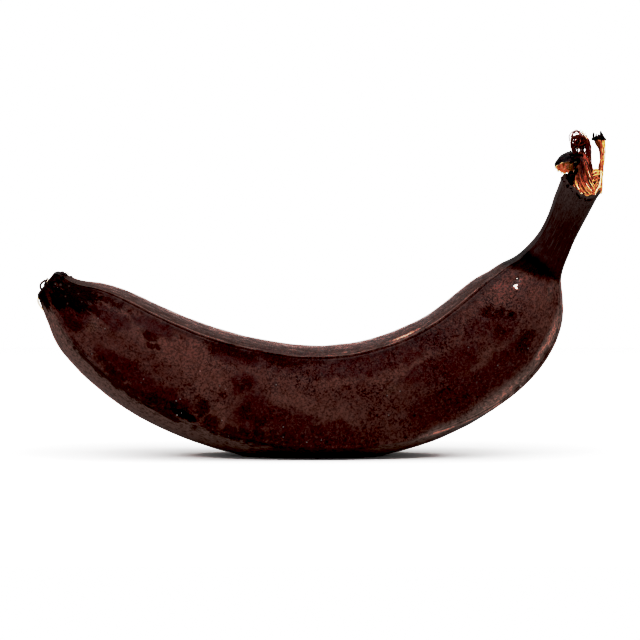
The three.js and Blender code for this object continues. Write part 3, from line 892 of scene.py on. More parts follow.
def column_angles():
    """Angles round the section, closer together at the ridges."""
    angles = []
    for (start, end), count in zip(FACES, FACE_COLUMNS):
        for i in range(count):
            t = i / count
            angles.append(mix(start, end, t - CROWDING * math.sin(2 * math.pi * t) / (2 * math.pi)))
    return angles


def hump(distance, width):
    """1 in the middle, falling smoothly to nothing on either side."""
    return math.exp(-(distance / width) ** 2)


def section_mesh():
    """The section as a ring of points, with the place of each round it and how near a ridge it is."""
    ring = []
    columns = []
    for degrees in column_angles():
        away = [(degrees - ridge + 180) % 360 - 180 for ridge in RIDGES]
        nearest = min(range(len(RIDGES)), key=lambda i: abs(away[i]))
        off = away[nearest]
        strength = RIDGE_STRENGTH[nearest]
        crease = hump(off - CREASE_AT, CREASE_WIDTH) + UPPER_CREASE * hump(off + CREASE_AT, CREASE_WIDTH)
        angle = math.radians(degrees)
        ring.append(Vector((math.cos(angle), math.sin(angle), 0)))
        columns.append({
            "angle": angle,
            "share": section_share(degrees),
            "bead": strength * hump(off, BEAD_WIDTH),
            "crease": strength * crease,
            "off": max(-RIDGE_REACH, min(off, RIDGE_REACH)),
            "close": float(abs(off) < RIDGE_REACH),
            "follow": max(0, 1 - abs(away[1]) / (FACE_BEFORE if away[1] < 0 else FACE_AFTER)),
            "high": math.cos(angle),
            "rim": torn_edge(degrees) * MM,
        })
    return line_mesh("Section", [ring], by_name(columns))


def straightened(along, angle):
    """A place of the skin with the finger laid out straight and round, as the tree stores it."""
    a = math.radians(angle)
    return Vector((math.cos(a) * NOMINAL_RADIUS, math.sin(a) * NOMINAL_RADIUS, along)) * MM


def skin_tree():
    """Sweeps the ridged section along the rail, with beads, creases, lumps, wrinkles and dents."""
    tree, given = new_tree("Ridged skin", {
        "Section": "Object", "Bead height": "Float", "Crease depth": "Float", "Lump height": "Float",
        "Lump size": "Float", "Wrinkle depth": "Float", "Wrinkle spacing": "Float", "Nominal radius": "Float",
        "Seed": "Float", "Material": "Material",
    })
    rail = given["Geometry"]
    section = add(tree, "GeometryNodeObjectInfo", {"Object": given["Section"]}).outputs["Geometry"]
    rows, columns = (
        add(tree, "GeometryNodeAttributeDomainSize", {"Geometry": points}) for points in (rail, section))
    row_length = add(tree, "FunctionNodeIntegerMath", [columns, 1])
    grid = add(tree, "GeometryNodeMeshGrid", {"Vertices X": rows, "Vertices Y": row_length})
    index = add(tree, "GeometryNodeInputIndex")
    row = add(tree, "FunctionNodeIntegerMath", [index, row_length], operation="DIVIDE")
    step = add(tree, "FunctionNodeIntegerMath", [index, row_length], operation="MODULO")
    column = add(tree, "FunctionNodeIntegerMath", [step, columns], operation="MODULO")

    # What each point of the grid takes from its ring and from its place in the section
    at = {}
    for source, place, kind, names in (
            (rail, row, "FLOAT_VECTOR", ("forward", "inwards", "half_sizes")),
            (rail, row, "FLOAT", ("along", "wide", "torn", "dry", "lean")),
            (section, column, "FLOAT",
             ("angle", "share", "bead", "crease", "off", "follow", "high", "close", "rim"))):
        for name in names:
            value = add(tree, "GeometryNodeInputNamedAttribute", {"Name": name}, data_type=kind)
            at[name] = add(tree, "GeometryNodeSampleIndex", {
                "Geometry": source, "Value": value, "Index": place}, data_type=kind)
    middle = add(tree, "GeometryNodeInputPosition")
    point = add(tree, "GeometryNodeSampleIndex", {
        "Geometry": rail, "Value": middle, "Index": row}, data_type="FLOAT_VECTOR")
    half = add(tree, "ShaderNodeSeparateXYZ", [at["half_sizes"]])
    angle = add(tree, "ShaderNodeMath", [
        at["follow"], at["lean"], at["angle"]], operation="MULTIPLY_ADD")
    level = add(tree, "ShaderNodeMath", [angle], operation="COSINE")
    aside = add(tree, "ShaderNodeMath", [angle], operation="SINE")
    turn = add(tree, "ShaderNodeCombineXYZ", {"X": level, "Y": aside})

    # The skin laid out straight and round, for everything that follows its length
    wrapped = add(tree, "ShaderNodeVectorMath", {
        "Vector": turn, "Scale": given["Nominal radius"]}, operation="SCALE")
    lifted = add(tree, "ShaderNodeCombineXYZ", {"Z": at["along"]})
    place = add(tree, "ShaderNodeVectorMath", [wrapped, lifted])

    # Beads and creases come and go along a ridge, and fade on the dry ends
    fitful = add(tree, "ShaderNodeTexNoise", {
        "Vector": place, "W": given["Seed"], "Scale": 1 / (RIDGE_STRETCH * MM), "Detail": 3.0},
        noise_dimensions="4D")
    fitful = add(tree, "ShaderNodeMapRange", {
        "Value": fitful, "From Min": 0.34, "From Max": 0.62, "To Min": 0.25, "To Max": 1.2})
    fresh = add(tree, "ShaderNodeMapRange", {"Value": at["dry"], "To Min": 1.0, "To Max": 0.4})
    fitful = add(tree, "ShaderNodeMath", [fitful, fresh], operation="MULTIPLY")
    lines = []
    for name, size in (("bead", "Bead height"), ("crease", "Crease depth")):
        line = add(tree, "ShaderNodeMath", [at[name], fitful], operation="MULTIPLY")
        lines.append(add(tree, "ShaderNodeMath", [line, given[size]], operation="MULTIPLY"))
    relief = add(tree, "ShaderNodeMath", [lines[0], lines[1]], operation="SUBTRACT")

    # Sagging flesh, a dimpled rind and the folds of the dry ends: stretch along, size, detail, height
    folded, dimpled, dimple_size = (
        add(tree, "ShaderNodeMath", [size, share], operation="MULTIPLY") for size, share in (
            (at["dry"], given["Wrinkle depth"]), (given["Lump height"], DIMPLE_SHARE),
            (given["Lump size"], DIMPLE_SIZE_SHARE)))
    for stretch, size, detail, height in (
            (1.0, given["Lump size"], 2.0, given["Lump height"]),
            (0.6, dimple_size, 3.0, dimpled),
            (FOLD_STRETCH, given["Wrinkle spacing"], 2.5, folded)):
        stretched = add(tree, "ShaderNodeVectorMath", [place, (1, 1, stretch)], operation="MULTIPLY")
        scale = add(tree, "ShaderNodeMath", [1.0, size], operation="DIVIDE")
        swell = add(tree, "ShaderNodeTexNoise", {
            "Vector": stretched, "W": given["Seed"], "Scale": scale, "Detail": detail,
            "Roughness": 0.5, "Distortion": 0.5}, noise_dimensions="4D")
        swell = add(tree, "ShaderNodeMath", [swell, 0.5], operation="SUBTRACT")
        relief = add(tree, "ShaderNodeMath", [swell, height, relief], operation="MULTIPLY_ADD")

    for dent_along, dent_angle, reach, depth in DENTS:
        away = add(tree, "ShaderNodeVectorMath", [
            place, straightened(dent_along, dent_angle)], operation="DISTANCE")
        dent = add(tree, "ShaderNodeMapRange", {
            "Value": away.outputs["Value"], "From Min": 0, "From Max": reach * MM,
            "To Min": depth * MM, "To Max": 0}, interpolation_type="SMOOTHSTEP")
        relief = add(tree, "ShaderNodeMath", [relief, dent], operation="SUBTRACT")
    relief = add(tree, "ShaderNodeMath", [relief, at["wide"]], operation="MULTIPLY")

    # Each point goes out from its ring's centre: up and across by the section, along by the torn rim
    is_inner = add(tree, "ShaderNodeMath", [level, 0], operation="GREATER_THAN")
    half_up = add(tree, "ShaderNodeMix", {"Factor": is_inner, "A": half.outputs["Y"], "B": half.outputs["X"]})
    reaches = []
    for size, part in ((half_up, level), (half.outputs["Z"], aside)):
        reach = add(tree, "ShaderNodeMath", [at["share"], size, relief], operation="MULTIPLY_ADD")
        reaches.append(add(tree, "ShaderNodeMath", [reach, part], operation="MULTIPLY"))
    up, across = reaches
    pulled = add(tree, "ShaderNodeMath", [at["rim"], at["torn"]], operation="MULTIPLY")
    for way, reach in ((at["inwards"], up), (at["forward"], pulled), ((0, -1, 0), across)):
        part = add(tree, "ShaderNodeVectorMath", {"Vector": way, "Scale": reach}, operation="SCALE")
        point = add(tree, "ShaderNodeVectorMath", [point, part])
    on_floor = add(tree, "ShaderNodeVectorMath", [point, (-1, -1, 0)], operation="MAXIMUM")

    geometry = grid.outputs["Mesh"]
    at["place"] = place
    for name in SKIN_KNOWS:
        geometry = add(tree, "GeometryNodeStoreNamedAttribute", {
            "Geometry": geometry, "Name": name, "Value": at[name]},
            data_type="FLOAT_VECTOR" if name == "place" else "FLOAT", domain="POINT")
    placed = add(tree, "GeometryNodeSetPosition", {"Geometry": geometry, "Position": on_floor})
    closed = add(tree, "GeometryNodeMergeByDistance", {"Geometry": placed, "Distance": 1e-6})
    finish_tree(tree, closed, given["Material"])
    return tree


# ---------------------------------------------------------------- materials


def new_material(name):
    """A material, its tree, and the place on the piece that its patterns read."""
    material = bpy.data.materials.new(name)
    material.use_nodes = True
    tree = material.node_tree
    return material, tree, add(tree, "ShaderNodeTexCoord").outputs["Object"]


def finish_material(material, base, ior, roughness, shine, bump):
    """Give the shader its colour, its finish and its relief, each a number or a node."""
    shader = material.node_tree.nodes["Principled BSDF"]
    for name, value in (
            ("Base Color", base), ("IOR", ior), ("Roughness", roughness), ("Specular IOR Level", shine),
            ("Normal", bump)):
        plug(material.node_tree, value, shader.inputs[name])


def peel_noises(tree, place, solid):
    """The noises that the peel's patterns are made of, by name."""
    drawn = add(tree, "ShaderNodeMapping", {"Vector": place, "Scale": (1, 1, 0.14)})
    dashed = add(tree, "ShaderNodeMapping", {"Vector": place, "Scale": (1, 1, 0.7)})
    # Name, where, millimetres across, detail, roughness, distortion. The peel's specks are a few tenths of a
    # millimetre across, and are drawn a little coarser, or the render would blur them away.
    noises = {}
    for name, vector, size, detail, rough, bent in (
            ("wander", place, 6, 4, 0.55, 0.0),
            ("clouds", place, 22, 4, 0.55, 0.3),
            ("thickness", place, 15, 4, 0.55, 0.2),
            ("patches", place, 7, 6, 0.66, 0.5),
            ("blots", place, 2.6, 6, 0.7, 0.6),
            ("specks", place, 0.85, 1, 0.5, 0.9),
            ("dashes", dashed, 1.0, 1, 0.5, 0.4),
            ("curls", place, 1.4, 1, 0.5, 1.2),
            ("streaks", drawn, 1.2, 4, 0.62, 0.3),
            ("pores", solid, 0.8, 2, 0.6, 0.0),
            ("gloss", solid, 3.0, 4, 0.6, 0.0)):
        noises[name] = add(tree, "ShaderNodeTexNoise", {
            "Vector": vector, "Scale": 1 / (size * MM), "Detail": detail,
            "Roughness": rough, "Distortion": bent})
    return noises


def wandering(tree, place, noise_colour):
    """The place, moved about a few millimetres for the edges of broad marks, and less for small ones."""
    wander = add(tree, "ShaderNodeVectorMath", [noise_colour, (0.5, 0.5, 0.5)], operation="SUBTRACT")
    moved = []
    for reach in (WANDER, SMALL_WANDER):
        by = add(tree, "ShaderNodeVectorMath", {"Vector": wander, "Scale": reach * MM}, operation="SCALE")
        moved.append(add(tree, "ShaderNodeVectorMath", [place, by]))
    return moved


def inside_marks(tree, kind, vector):
    """How far a place lies inside the marks of one kind."""
    total = 0.0
    for along, angle, long, broad in MARKS[kind]:
        local = add(tree, "ShaderNodeMapping", {
            "Vector": vector, "Location": straightened(along, angle),
            "Scale": Vector((broad, broad, long)) * MM}, vector_type="TEXTURE")
        inside = add(tree, "ShaderNodeTexGradient", {"Vector": local}, gradient_type="SPHERICAL")
        total = add(tree, "ShaderNodeMath", [total, inside.outputs["Fac"]], operation="MAXIMUM")
    return total


def peel_material(settings):
    """Black-ripe plantain peel: waxy, leathery skin, its brown broken into specks, bruises and black ends."""
    material, tree, solid = new_material("Black-ripe plantain peel")
    given = {name: add(tree, "ShaderNodeAttribute", attribute_name=name) for name in SKIN_KNOWS}
    off, high, dry, close = (given[name].outputs["Fac"] for name in ("off", "high", "dry", "close"))
    place = given["place"].outputs["Vector"]
    noises = peel_noises(tree, place, solid)
    curl = add(tree, "ShaderNodeMath", [noises["curls"], 0.5], operation="SUBTRACT")
    curl = add(tree, "ShaderNodeMath", [curl], operation="ABSOLUTE")
    loose, near = wandering(tree, place, noises["wander"].outputs["Color"])
    loose_along = add(tree, "ShaderNodeSeparateXYZ", [loose]).outputs["Z"]
    near_place = add(tree, "ShaderNodeSeparateXYZ", [near])
    upward, near_along = near_place.outputs["X"], near_place.outputs["Z"]

    marked = {}
    for vector, kinds in (
            (loose, ("pale", "red", "dark", "tan")), (near, ("painted_sheen", "black", "shiny", "latex")),
            (place, ("ash", "grains"))):
        for kind in kinds:
            marked[kind] = inside_marks(tree, kind, vector)
    ragged = add(tree, "ShaderNodeMath", [noises["blots"], 0.5], operation="SUBTRACT")
    for kind in ("dark", "black"):
        marked[kind] = add(tree, "ShaderNodeMath", [
            ragged, RAGGED, marked[kind]], operation="MULTIPLY_ADD")

    # The face above the upper ridges, and the faces below the second
    inner, outer = (
        add(tree, "ShaderNodeMapRange", {"Value": high, "From Min": edge - soft, "From Max": edge + soft})
        for edge, soft in ((INNER_FROM, FACE_EDGE), (OUTER_FROM, -FACE_EDGE)))

    # What changes along the finger: from where, to where, and the values there
    onward, curled, woody, keen = (
        add(tree, "ShaderNodeMapRange", {
            "Value": loose_along, "From Min": start * MM, "From Max": end * MM,
            "To Min": first, "To Max": last})
        for start, end, first, last in (
            (30, 115, 0.75, 1.0), (60, 120, 0.22, 0.55), (NECK_TO, STEM_PALE_FROM, 0.0, 1.0),
            (KEEN_FROM, KEEN_TO, 0.3, 1.0)))

    # How thick the specks stand, and how much of the lesser patterns shows
    thick = add(tree, "ShaderNodeMapRange", {
        "Value": noises["thickness"], "From Min": 0.36, "From Max": 0.6, "To Min": 0.5, "To Max": 1.0})
    clear = 1.0
    for driver, change in ((marked["pale"], -0.5), (outer, -0.6), (marked["painted_sheen"], -1.0)):
        clear = add(tree, "ShaderNodeMath", [driver, change, clear], operation="MULTIPLY_ADD")
    clear = add(tree, "ShaderNodeMath", [clear, SPECKS_LEFT], operation="MAXIMUM")
    clear = add(tree, "ShaderNodeMath", [clear, onward], operation="MULTIPLY")
    thick = add(tree, "ShaderNodeMath", [thick, clear], operation="MULTIPLY")
    bruised, glossy, flecked = (
        add(tree, "ShaderNodeMath", [driver, part], operation="MULTIPLY")
        for driver, part in ((thick, 0.6), (inner, 0.7), (dry, 0.65)))
    dotted = add(tree, "ShaderNodeMath", [outer, 0.32, 0.28], operation="MULTIPLY_ADD")

    # The black neck, longer on its inner side, and the painted shade and highlight lines of the ridges, which
    # are keener above than below
    neck_middle = (NECK_FROM + NECK_TO) / 2 * MM
    from_neck = add(tree, "ShaderNodeMath", [near_along, neck_middle], operation="SUBTRACT")
    from_neck = add(tree, "ShaderNodeMath", [from_neck], operation="ABSOLUTE")
    from_neck = add(tree, "ShaderNodeMath", [
        upward, -NECK_WIDENS, from_neck], operation="MULTIPLY_ADD")
    neck_length = (NECK_TO - NECK_FROM) * MM
    neck = add(tree, "ShaderNodeMapRange", {
        "Value": from_neck, "From Min": NECK_FADES * neck_length, "From Max": NECK_SOLID * neck_length})
    upper = add(tree, "ShaderNodeMath", [high, 0], operation="GREATER_THAN")
    keen = add(tree, "ShaderNodeMath", [keen, upper], operation="MAXIMUM")
    for part in (noises["streaks"], close):
        keen = add(tree, "ShaderNodeMath", [keen, part], operation="MULTIPLY")

    # Layers of colour, each over the last: what drives it, from where to where, how much, which colour
    layers = [
        (noises["clouds"], 0.36, 0.66, 0.5, "pale"),
        (noises["patches"], 0.52, 0.66, 0.22, "pale"),
        (noises["patches"], 0.46, 0.34, 0.25, "red"),
        (marked["pale"], 0.0, 0.45, 0.8, "pale"),
        (marked["tan"], 0.0, 0.6, 0.6, "tan"),
        # Lower faces: partly their own paler tone, partly a painted reflection of the floor
        (outer, 0.0, 1.0, 0.9, "outer"),
        (inner, 0.0, 1.0, 0.9, "inner"),
        (marked["red"], 0.0, 0.4, 0.9, "red"),
        # Painted sheen: highlight on the inner face and neck, reflection of the floor on the lower edge
        (marked["painted_sheen"], 0.0, 0.9, 0.9, "painted_sheen"),
        # Pale streaks on the inner face, partly painted gloss highlight, then dark streaks between them
        (noises["streaks"], 0.52, 0.72, glossy, "streak"),
        (noises["streaks"], 0.48, 0.28, glossy, "dark"),
        (marked["dark"], 0.1, 0.5, 0.85, "dark"),
        (noises["blots"], 0.56, 0.66, bruised, "dark"),
        (curl, 0.065, 0.01, curled, "pale"),
        (noises["specks"], 0.47, 0.58, thick, "dark"),
        (noises["dashes"], 0.54, 0.62, dotted, "dark"),
        (marked["black"], 0.25, 0.5, 0.9, "black"),
    ]
    # Painted shade in and beside each ridge's creases, and a painted highlight on its bead
    for at, half, amount, tone in RIDGE_SHADE_AND_HIGHLIGHT:
        away = add(tree, "ShaderNodeMath", [off, at], operation="SUBTRACT")
        away = add(tree, "ShaderNodeMath", [away], operation="ABSOLUTE")
        line = add(tree, "ShaderNodeMapRange", {"Value": away, "From Min": half, "From Max": 0.3 * half})
        line = add(tree, "ShaderNodeMath", [line, keen], operation="MULTIPLY")
        layers.append((line, 0.3, 0.55, amount, tone))
    layers += [
        (near_along, (NECK_TO - 4) * MM, (NECK_TO - 1) * MM, 1.0, "stem"),
        (loose_along, STEM_PALE_FROM * MM, SPINE_LENGTH * MM, 0.7, "ash"),
        (noises["specks"], 0.48, 0.58, flecked, "black"),
        (noises["streaks"], 0.54, 0.72, woody, "ash"),
        (neck, 0.0, 1.0, 0.9, "black"),
        (loose_along, TIP_TO * MM, (TIP_TO - 6) * MM, 0.9, "black"),
        (noises["specks"], 0.62, 0.8, woody, "ash"),
        (marked["ash"], 0.0, 0.9, 0.65, "ash"),
        # Painted highlight on the dent by the neck, then grains of pale dust
        (marked["latex"], 0.1, 0.3, 1.0, "dust"),
        (marked["grains"], 0.1, 0.3, 0.25, "dust"),
    ]
    base = settings.ripe
    for driver, low, high, amount, tone in layers:
        share = add(tree, "ShaderNodeMapRange", {
            "Value": driver, "From Min": low, "From Max": high, "To Max": amount},
            interpolation_type="SMOOTHSTEP")
        base = add(tree, "ShaderNodeMix", {
            "Factor": share, "A": base, "B": getattr(settings, tone)}, data_type="RGBA")

    # Grains of pale dust, one to every square centimetre or two
    grains = add(tree, "ShaderNodeTexVoronoi", {"Vector": solid, "Scale": 1 / (DUST_SPACING * MM)})
    grain_size = DUST_SIZE / DUST_SPACING
    dust = add(tree, "ShaderNodeMapRange", {
        "Value": grains.outputs["Distance"], "From Min": grain_size, "From Max": 0.6 * grain_size,
        "To Max": DUST_STRENGTH})
    base = add(tree, "ShaderNodeMix", {"Factor": dust, "A": base, "B": settings.dust}, data_type="RGBA")

    # The dry ends are dull. The inner face is glossier, with wax that follows its streaks.
    rough = add(tree, "ShaderNodeMapRange", {
        "Value": noises["gloss"], "From Min": 0.3, "From Max": 0.7,
        "To Min": settings.roughness - 0.1, "To Max": settings.roughness + 0.12})
    for driver, change in ((marked["shiny"], -0.35), (inner, -0.08), (dry, 0.12)):
        rough = add(tree, "ShaderNodeMath", [driver, change, rough], operation="MULTIPLY_ADD")
    waxy = add(tree, "ShaderNodeMix", {"Factor": inner, "A": noises["gloss"], "B": noises["streaks"]})
    wax = add(tree, "ShaderNodeMapRange", {
        "Value": waxy, "From Min": 0.35, "From Max": 0.65, "To Min": 0.12, "To Max": 0.24})
    for driver, change in (
            (dry, -0.1), (marked["dark"], -0.2), (marked["pale"], -0.08), (marked["red"], -0.08),
            (marked["black"], -0.2), (neck, -0.2), (outer, -0.2), (inner, -0.13), (marked["shiny"], 0.6)):
        wax = add(tree, "ShaderNodeMath", [driver, change, wax], operation="MULTIPLY_ADD")
    wax = add(tree, "ShaderNodeMath", [wax, LEAST_WAX], operation="MAXIMUM")

    # Leathery grain under the wax, sunken specks, and fine lines along the dry ends
    height = add(tree, "ShaderNodeMath", [noises["streaks"], dry], operation="MULTIPLY")
    height = add(tree, "ShaderNodeMath", [height, 2.0, noises["pores"]], operation="MULTIPLY_ADD")
    height = add(tree, "ShaderNodeMath", [noises["specks"], -1.2, height], operation="MULTIPLY_ADD")
    bump = add(tree, "ShaderNodeBump", {"Height": height, "Strength": 0.6, "Distance": 0.12 * MM})
    finish_material(material, base, 1.4, rough, wax, bump)
    return material


# ---------------------------------------------------------------- fibres and dried tissue


def fibre_tree():
    """Turns each guide line into one or a few tapering fibres."""
    tree, given = new_tree("Torn fibres", {
        "Fibres": "Int", "Points": "Int", "Sides": "Int", "Thickness": "Float", "Spread": "Float",
        "Wobble": "Float", "Wobble size": "Float", "Tint spread": "Float", "Tip": "Float", "Seed": "Int",
        "Material": "Material",
    })
    curve = add(tree, "GeometryNodeMeshToCurve", {"Mesh": given["Geometry"]})
    smooth = add(tree, "GeometryNodeCurveSplineType", {"Curve": curve}, spline_type="CATMULL_ROM")
    even = add(tree, "GeometryNodeResampleCurve", {"Curve": smooth, "Count": given["Points"]})
    copies = add(tree, "GeometryNodeDuplicateElements", {
        "Geometry": even, "Amount": given["Fibres"]}, domain="SPLINE")
    which = add(tree, "GeometryNodeFieldOnDomain", {
        "Value": add(tree, "GeometryNodeInputIndex")}, data_type="INT", domain="CURVE")
    aside = add(tree, "FunctionNodeRandomValue", {
        "Min": (-1, -1, -1), "Max": (1, 1, 1), "ID": which, "Seed": given["Seed"]}, data_type="FLOAT_VECTOR")
    own = add(tree, "FunctionNodeRandomValue", {"ID": which, "Seed": given["Seed"]}, data_type="FLOAT")
    apart = add(tree, "ShaderNodeVectorMath", {"Vector": aside, "Scale": given["Spread"]}, operation="SCALE")
    wave_scale = add(tree, "ShaderNodeMath", [1.0, given["Wobble size"]], operation="DIVIDE")
    moved = add(tree, "ShaderNodeVectorMath", [
        add(tree, "GeometryNodeInputPosition"), (1, 1, 1), aside], operation="MULTIPLY_ADD")
    wave = add(tree, "ShaderNodeTexNoise", {"Vector": moved, "Scale": wave_scale, "Detail": 1.0})
    wave = add(tree, "ShaderNodeVectorMath", [
        wave.outputs["Color"], (0.5, 0.5, 0.5)], operation="SUBTRACT")
    wave = add(tree, "ShaderNodeVectorMath", {"Vector": wave, "Scale": given["Wobble"]}, operation="SCALE")
    offset = add(tree, "ShaderNodeVectorMath", [apart, wave])
    loose = add(tree, "GeometryNodeSetPosition", {"Geometry": copies, "Offset": offset})
    factor = add(tree, "GeometryNodeSplineParameter").outputs["Factor"]
    taper = add(tree, "ShaderNodeMapRange", {
        "Value": factor, "From Min": 0.7, "From Max": 1.0, "To Min": 0.5, "To Max": given["Tip"]})
    stout = add(tree, "ShaderNodeMapRange", {"Value": own, "To Min": 0.8, "To Max": 1.2})
    thick = add(tree, "GeometryNodeInputNamedAttribute", {"Name": "thick"}, data_type="FLOAT")
    radius = taper
    for share in (stout, thick, given["Thickness"]):
        radius = add(tree, "ShaderNodeMath", [radius, share], operation="MULTIPLY")
    tint = add(tree, "GeometryNodeInputNamedAttribute", {"Name": "tint"}, data_type="FLOAT")
    change = add(tree, "ShaderNodeMath", [own, 0.5], operation="SUBTRACT")
    tint = add(tree, "ShaderNodeMath", [
        change, given["Tint spread"], tint], operation="MULTIPLY_ADD")
    marked = add(tree, "GeometryNodeStoreNamedAttribute", {
        "Geometry": loose, "Name": "tint", "Value": tint}, data_type="FLOAT", domain="POINT")
    profile = add(tree, "GeometryNodeCurvePrimitiveCircle", {"Resolution": given["Sides"], "Radius": 1.0})
    tube = add(tree, "GeometryNodeCurveToMesh", {
        "Curve": marked, "Profile Curve": profile.outputs["Curve"], "Scale": radius, "Fill Caps": True})
    finish_tree(tree, tube, given["Material"])
    return tree


def finish_dried(material, picked, tones, roughness, shine, grain, height):
    """End a dried material: tones that a number picks from, its finish, and a fine grain."""
    tree = material.node_tree
    start, base = tones[0]
    for end, tone in tones[1:]:
        reach = add(tree, "ShaderNodeMapRange", {"Value": picked, "From Min": start, "From Max": end})
        base = add(tree, "ShaderNodeMix", {"Factor": reach, "A": base, "B": tone}, data_type="RGBA")
        start = end
    solid = add(tree, "ShaderNodeTexCoord").outputs["Object"]
    rough = add(tree, "ShaderNodeTexNoise", {"Vector": solid, "Scale": 1 / (grain * MM), "Detail": 3.0})
    bump = add(tree, "ShaderNodeBump", {"Height": rough, "Strength": 0.8, "Distance": height * MM})
    finish_material(material, base, 1.5, roughness, shine, bump)
    return material


def fibre_material(fibre):
    """Dried plant fibre: cream and straw-gold where it is thin, red-brown to black where sap dried on it."""
    material, tree, solid = new_material("Dried plant fibre")
    tint = add(tree, "ShaderNodeAttribute", attribute_name="tint").outputs["Fac"]
    patchy = add(tree, "ShaderNodeTexNoise", {"Vector": solid, "Scale": 1 / (0.9 * MM), "Detail": 2.0})
    patchy = add(tree, "ShaderNodeMath", [patchy, 0.5], operation="SUBTRACT")
    picked = add(tree, "ShaderNodeMath", [patchy, 0.5, tint], operation="MULTIPLY_ADD")
    tones = [
        (0, fibre.cream), (0.25, fibre.golden), (0.48, fibre.brown), (0.7, fibre.red), (0.95, fibre.dark)]
    return finish_dried(material, picked, tones, 0.42, 0.18, 0.3, 0.05)


def pith_material(fibre):
    """Torn pith: dark red and fibrous, golden towards the outer rim, black on the inner side."""
    material, tree, solid = new_material("Dried torn pith")
    place = add(tree, "ShaderNodeSeparateXYZ", [solid])
    # Darker from the outer rim to the inner side, and a little darker higher up
    outward, upward = (
        add(tree, "ShaderNodeMapRange", {
            "Value": place.outputs[axis], "From Min": start * MM, "From Max": end * MM,
            "To Min": low, "To Max": high})
        for axis, start, end, low, high in (
            ("X", TORN_MIDDLE.x - 2, TORN_MIDDLE.x + 8, 0.76, 0.18),
            ("Z", TORN_MIDDLE.z + 2, TORN_MIDDLE.z + 9, -0.1, 0.1)))
    total = add(tree, "ShaderNodeMath", [outward, upward])
    thread = add(tree, "ShaderNodeVectorMath", [solid, (2.4, 2.4, 0.7)], operation="MULTIPLY")
    thread = add(tree, "ShaderNodeTexNoise", {"Vector": thread, "Scale": 1 / (1.5 * MM), "Detail": 4.0})
    thread = add(tree, "ShaderNodeMath", [thread, 0.5], operation="SUBTRACT")
    picked = add(tree, "ShaderNodeMath", [thread, 1.1, total], operation="MULTIPLY_ADD")
    tones = [(0.2, fibre.golden), (0.42, fibre.brown), (0.68, fibre.red), (1.0, fibre.dark)]
    return finish_dried(material, picked, tones, 0.34, 0.2, 0.5, 0.4)


def crust_material(fibre):
    """Dried black sap and shrunken tissue: hard and brittle, with small glints."""
    material, tree, solid = new_material("Dried black sap")
    blotches = add(tree, "ShaderNodeTexNoise", {"Vector": solid, "Scale": 1 / (1.4 * MM), "Detail": 4.0})
    return finish_dried(material, blotches, [(0.5, fibre.crust), (0.62, fibre.plum)], 0.4, 0.06, 0.5, 0.25)


def hollow_material(fibre):
    """The hollow side of the curled scale of peel: dry and matt, tan and rust, blotched with brown, its tones
    made paler as painted light against the shade in the hollow.
    """
    material, tree, solid = new_material("Dried inner peel")
    blotches = add(tree, "ShaderNodeTexNoise", {
        "Vector": solid, "Scale": 1 / (1.3 * MM), "Detail": 5.0, "Roughness": 0.65})
    tones = [(0.38, fibre.tan), (0.5, fibre.rust), (0.66, fibre.brown)]
    return finish_dried(material, blotches, tones, 0.6, 0.3, 0.4, 0.2)


def rim_material(fibre):
    """The thin edge of the curled scale, where the peel broke: pale and matt."""
    material, tree, solid = new_material("Broken edge of peel")
    blotches = add(tree, "ShaderNodeTexNoise", {"Vector": solid, "Scale": 1 / (1.0 * MM), "Detail": 3.0})
    return finish_dried(material, blotches, [(0.4, fibre.cream), (0.7, fibre.tan)], 0.6, 0.3, 0.4, 0.1)


# ---------------------------------------------------------------- crust


def crust_tree():
    """Melts lumps at the given points into one crusty mass."""
    tree, given = new_tree("Crust", {
        "Voxel": "Float", "Roughness": "Float", "Grain": "Vector", "Material": "Material"})
    points = add(tree, "GeometryNodeMeshToPoints", {"Mesh": given["Geometry"]})
    size = add(tree, "GeometryNodeInputNamedAttribute", {"Name": "size"}, data_type="FLOAT")
    lump = add(tree, "GeometryNodeMeshIcoSphere", {"Radius": 1.0, "Subdivisions": 3})
    lumps = add(tree, "GeometryNodeInstanceOnPoints", {
        "Points": points, "Instance": lump.outputs["Mesh"], "Scale": size})
    real = add(tree, "GeometryNodeRealizeInstances", {"Geometry": lumps})
    volume = add(tree, "GeometryNodeMeshToVolume", {
        "Mesh": real, "Voxel Size": given["Voxel"], "Interior Band Width": 1 * MM},
        resolution_mode="VOXEL_SIZE")
    mass = add(tree, "GeometryNodeVolumeToMesh", {
        "Volume": volume, "Voxel Size": given["Voxel"]}, resolution_mode="VOXEL_SIZE")
    grain = add(tree, "ShaderNodeVectorMath", [
        add(tree, "GeometryNodeInputPosition"), given["Grain"]], operation="DIVIDE")
    crumple = add(tree, "ShaderNodeTexNoise", {
        "Vector": grain, "Scale": 1.0, "Detail": 3.0, "Roughness": 0.6})
    crumple = add(tree, "ShaderNodeMath", [crumple, 0.5], operation="SUBTRACT")
    crumple = add(tree, "ShaderNodeMath", [crumple, given["Roughness"]], operation="MULTIPLY")
    push = add(tree, "ShaderNodeVectorMath", {
        "Vector": add(tree, "GeometryNodeInputNormal"), "Scale": crumple}, operation="SCALE")
    shaped = add(tree, "GeometryNodeSetPosition", {"Geometry": mass, "Offset": push})
    finish_tree(tree, shaped, given["Material"])
    return tree


def lump_mesh(name, lumps, middle):
    """Points in metres with the size of the lump at each."""
    return line_mesh(name, [[(middle + place) * MM] for place, size in lumps],
                     {"size": [size * MM for place, size in lumps]})


# ---------------------------------------------------------------- curled scale


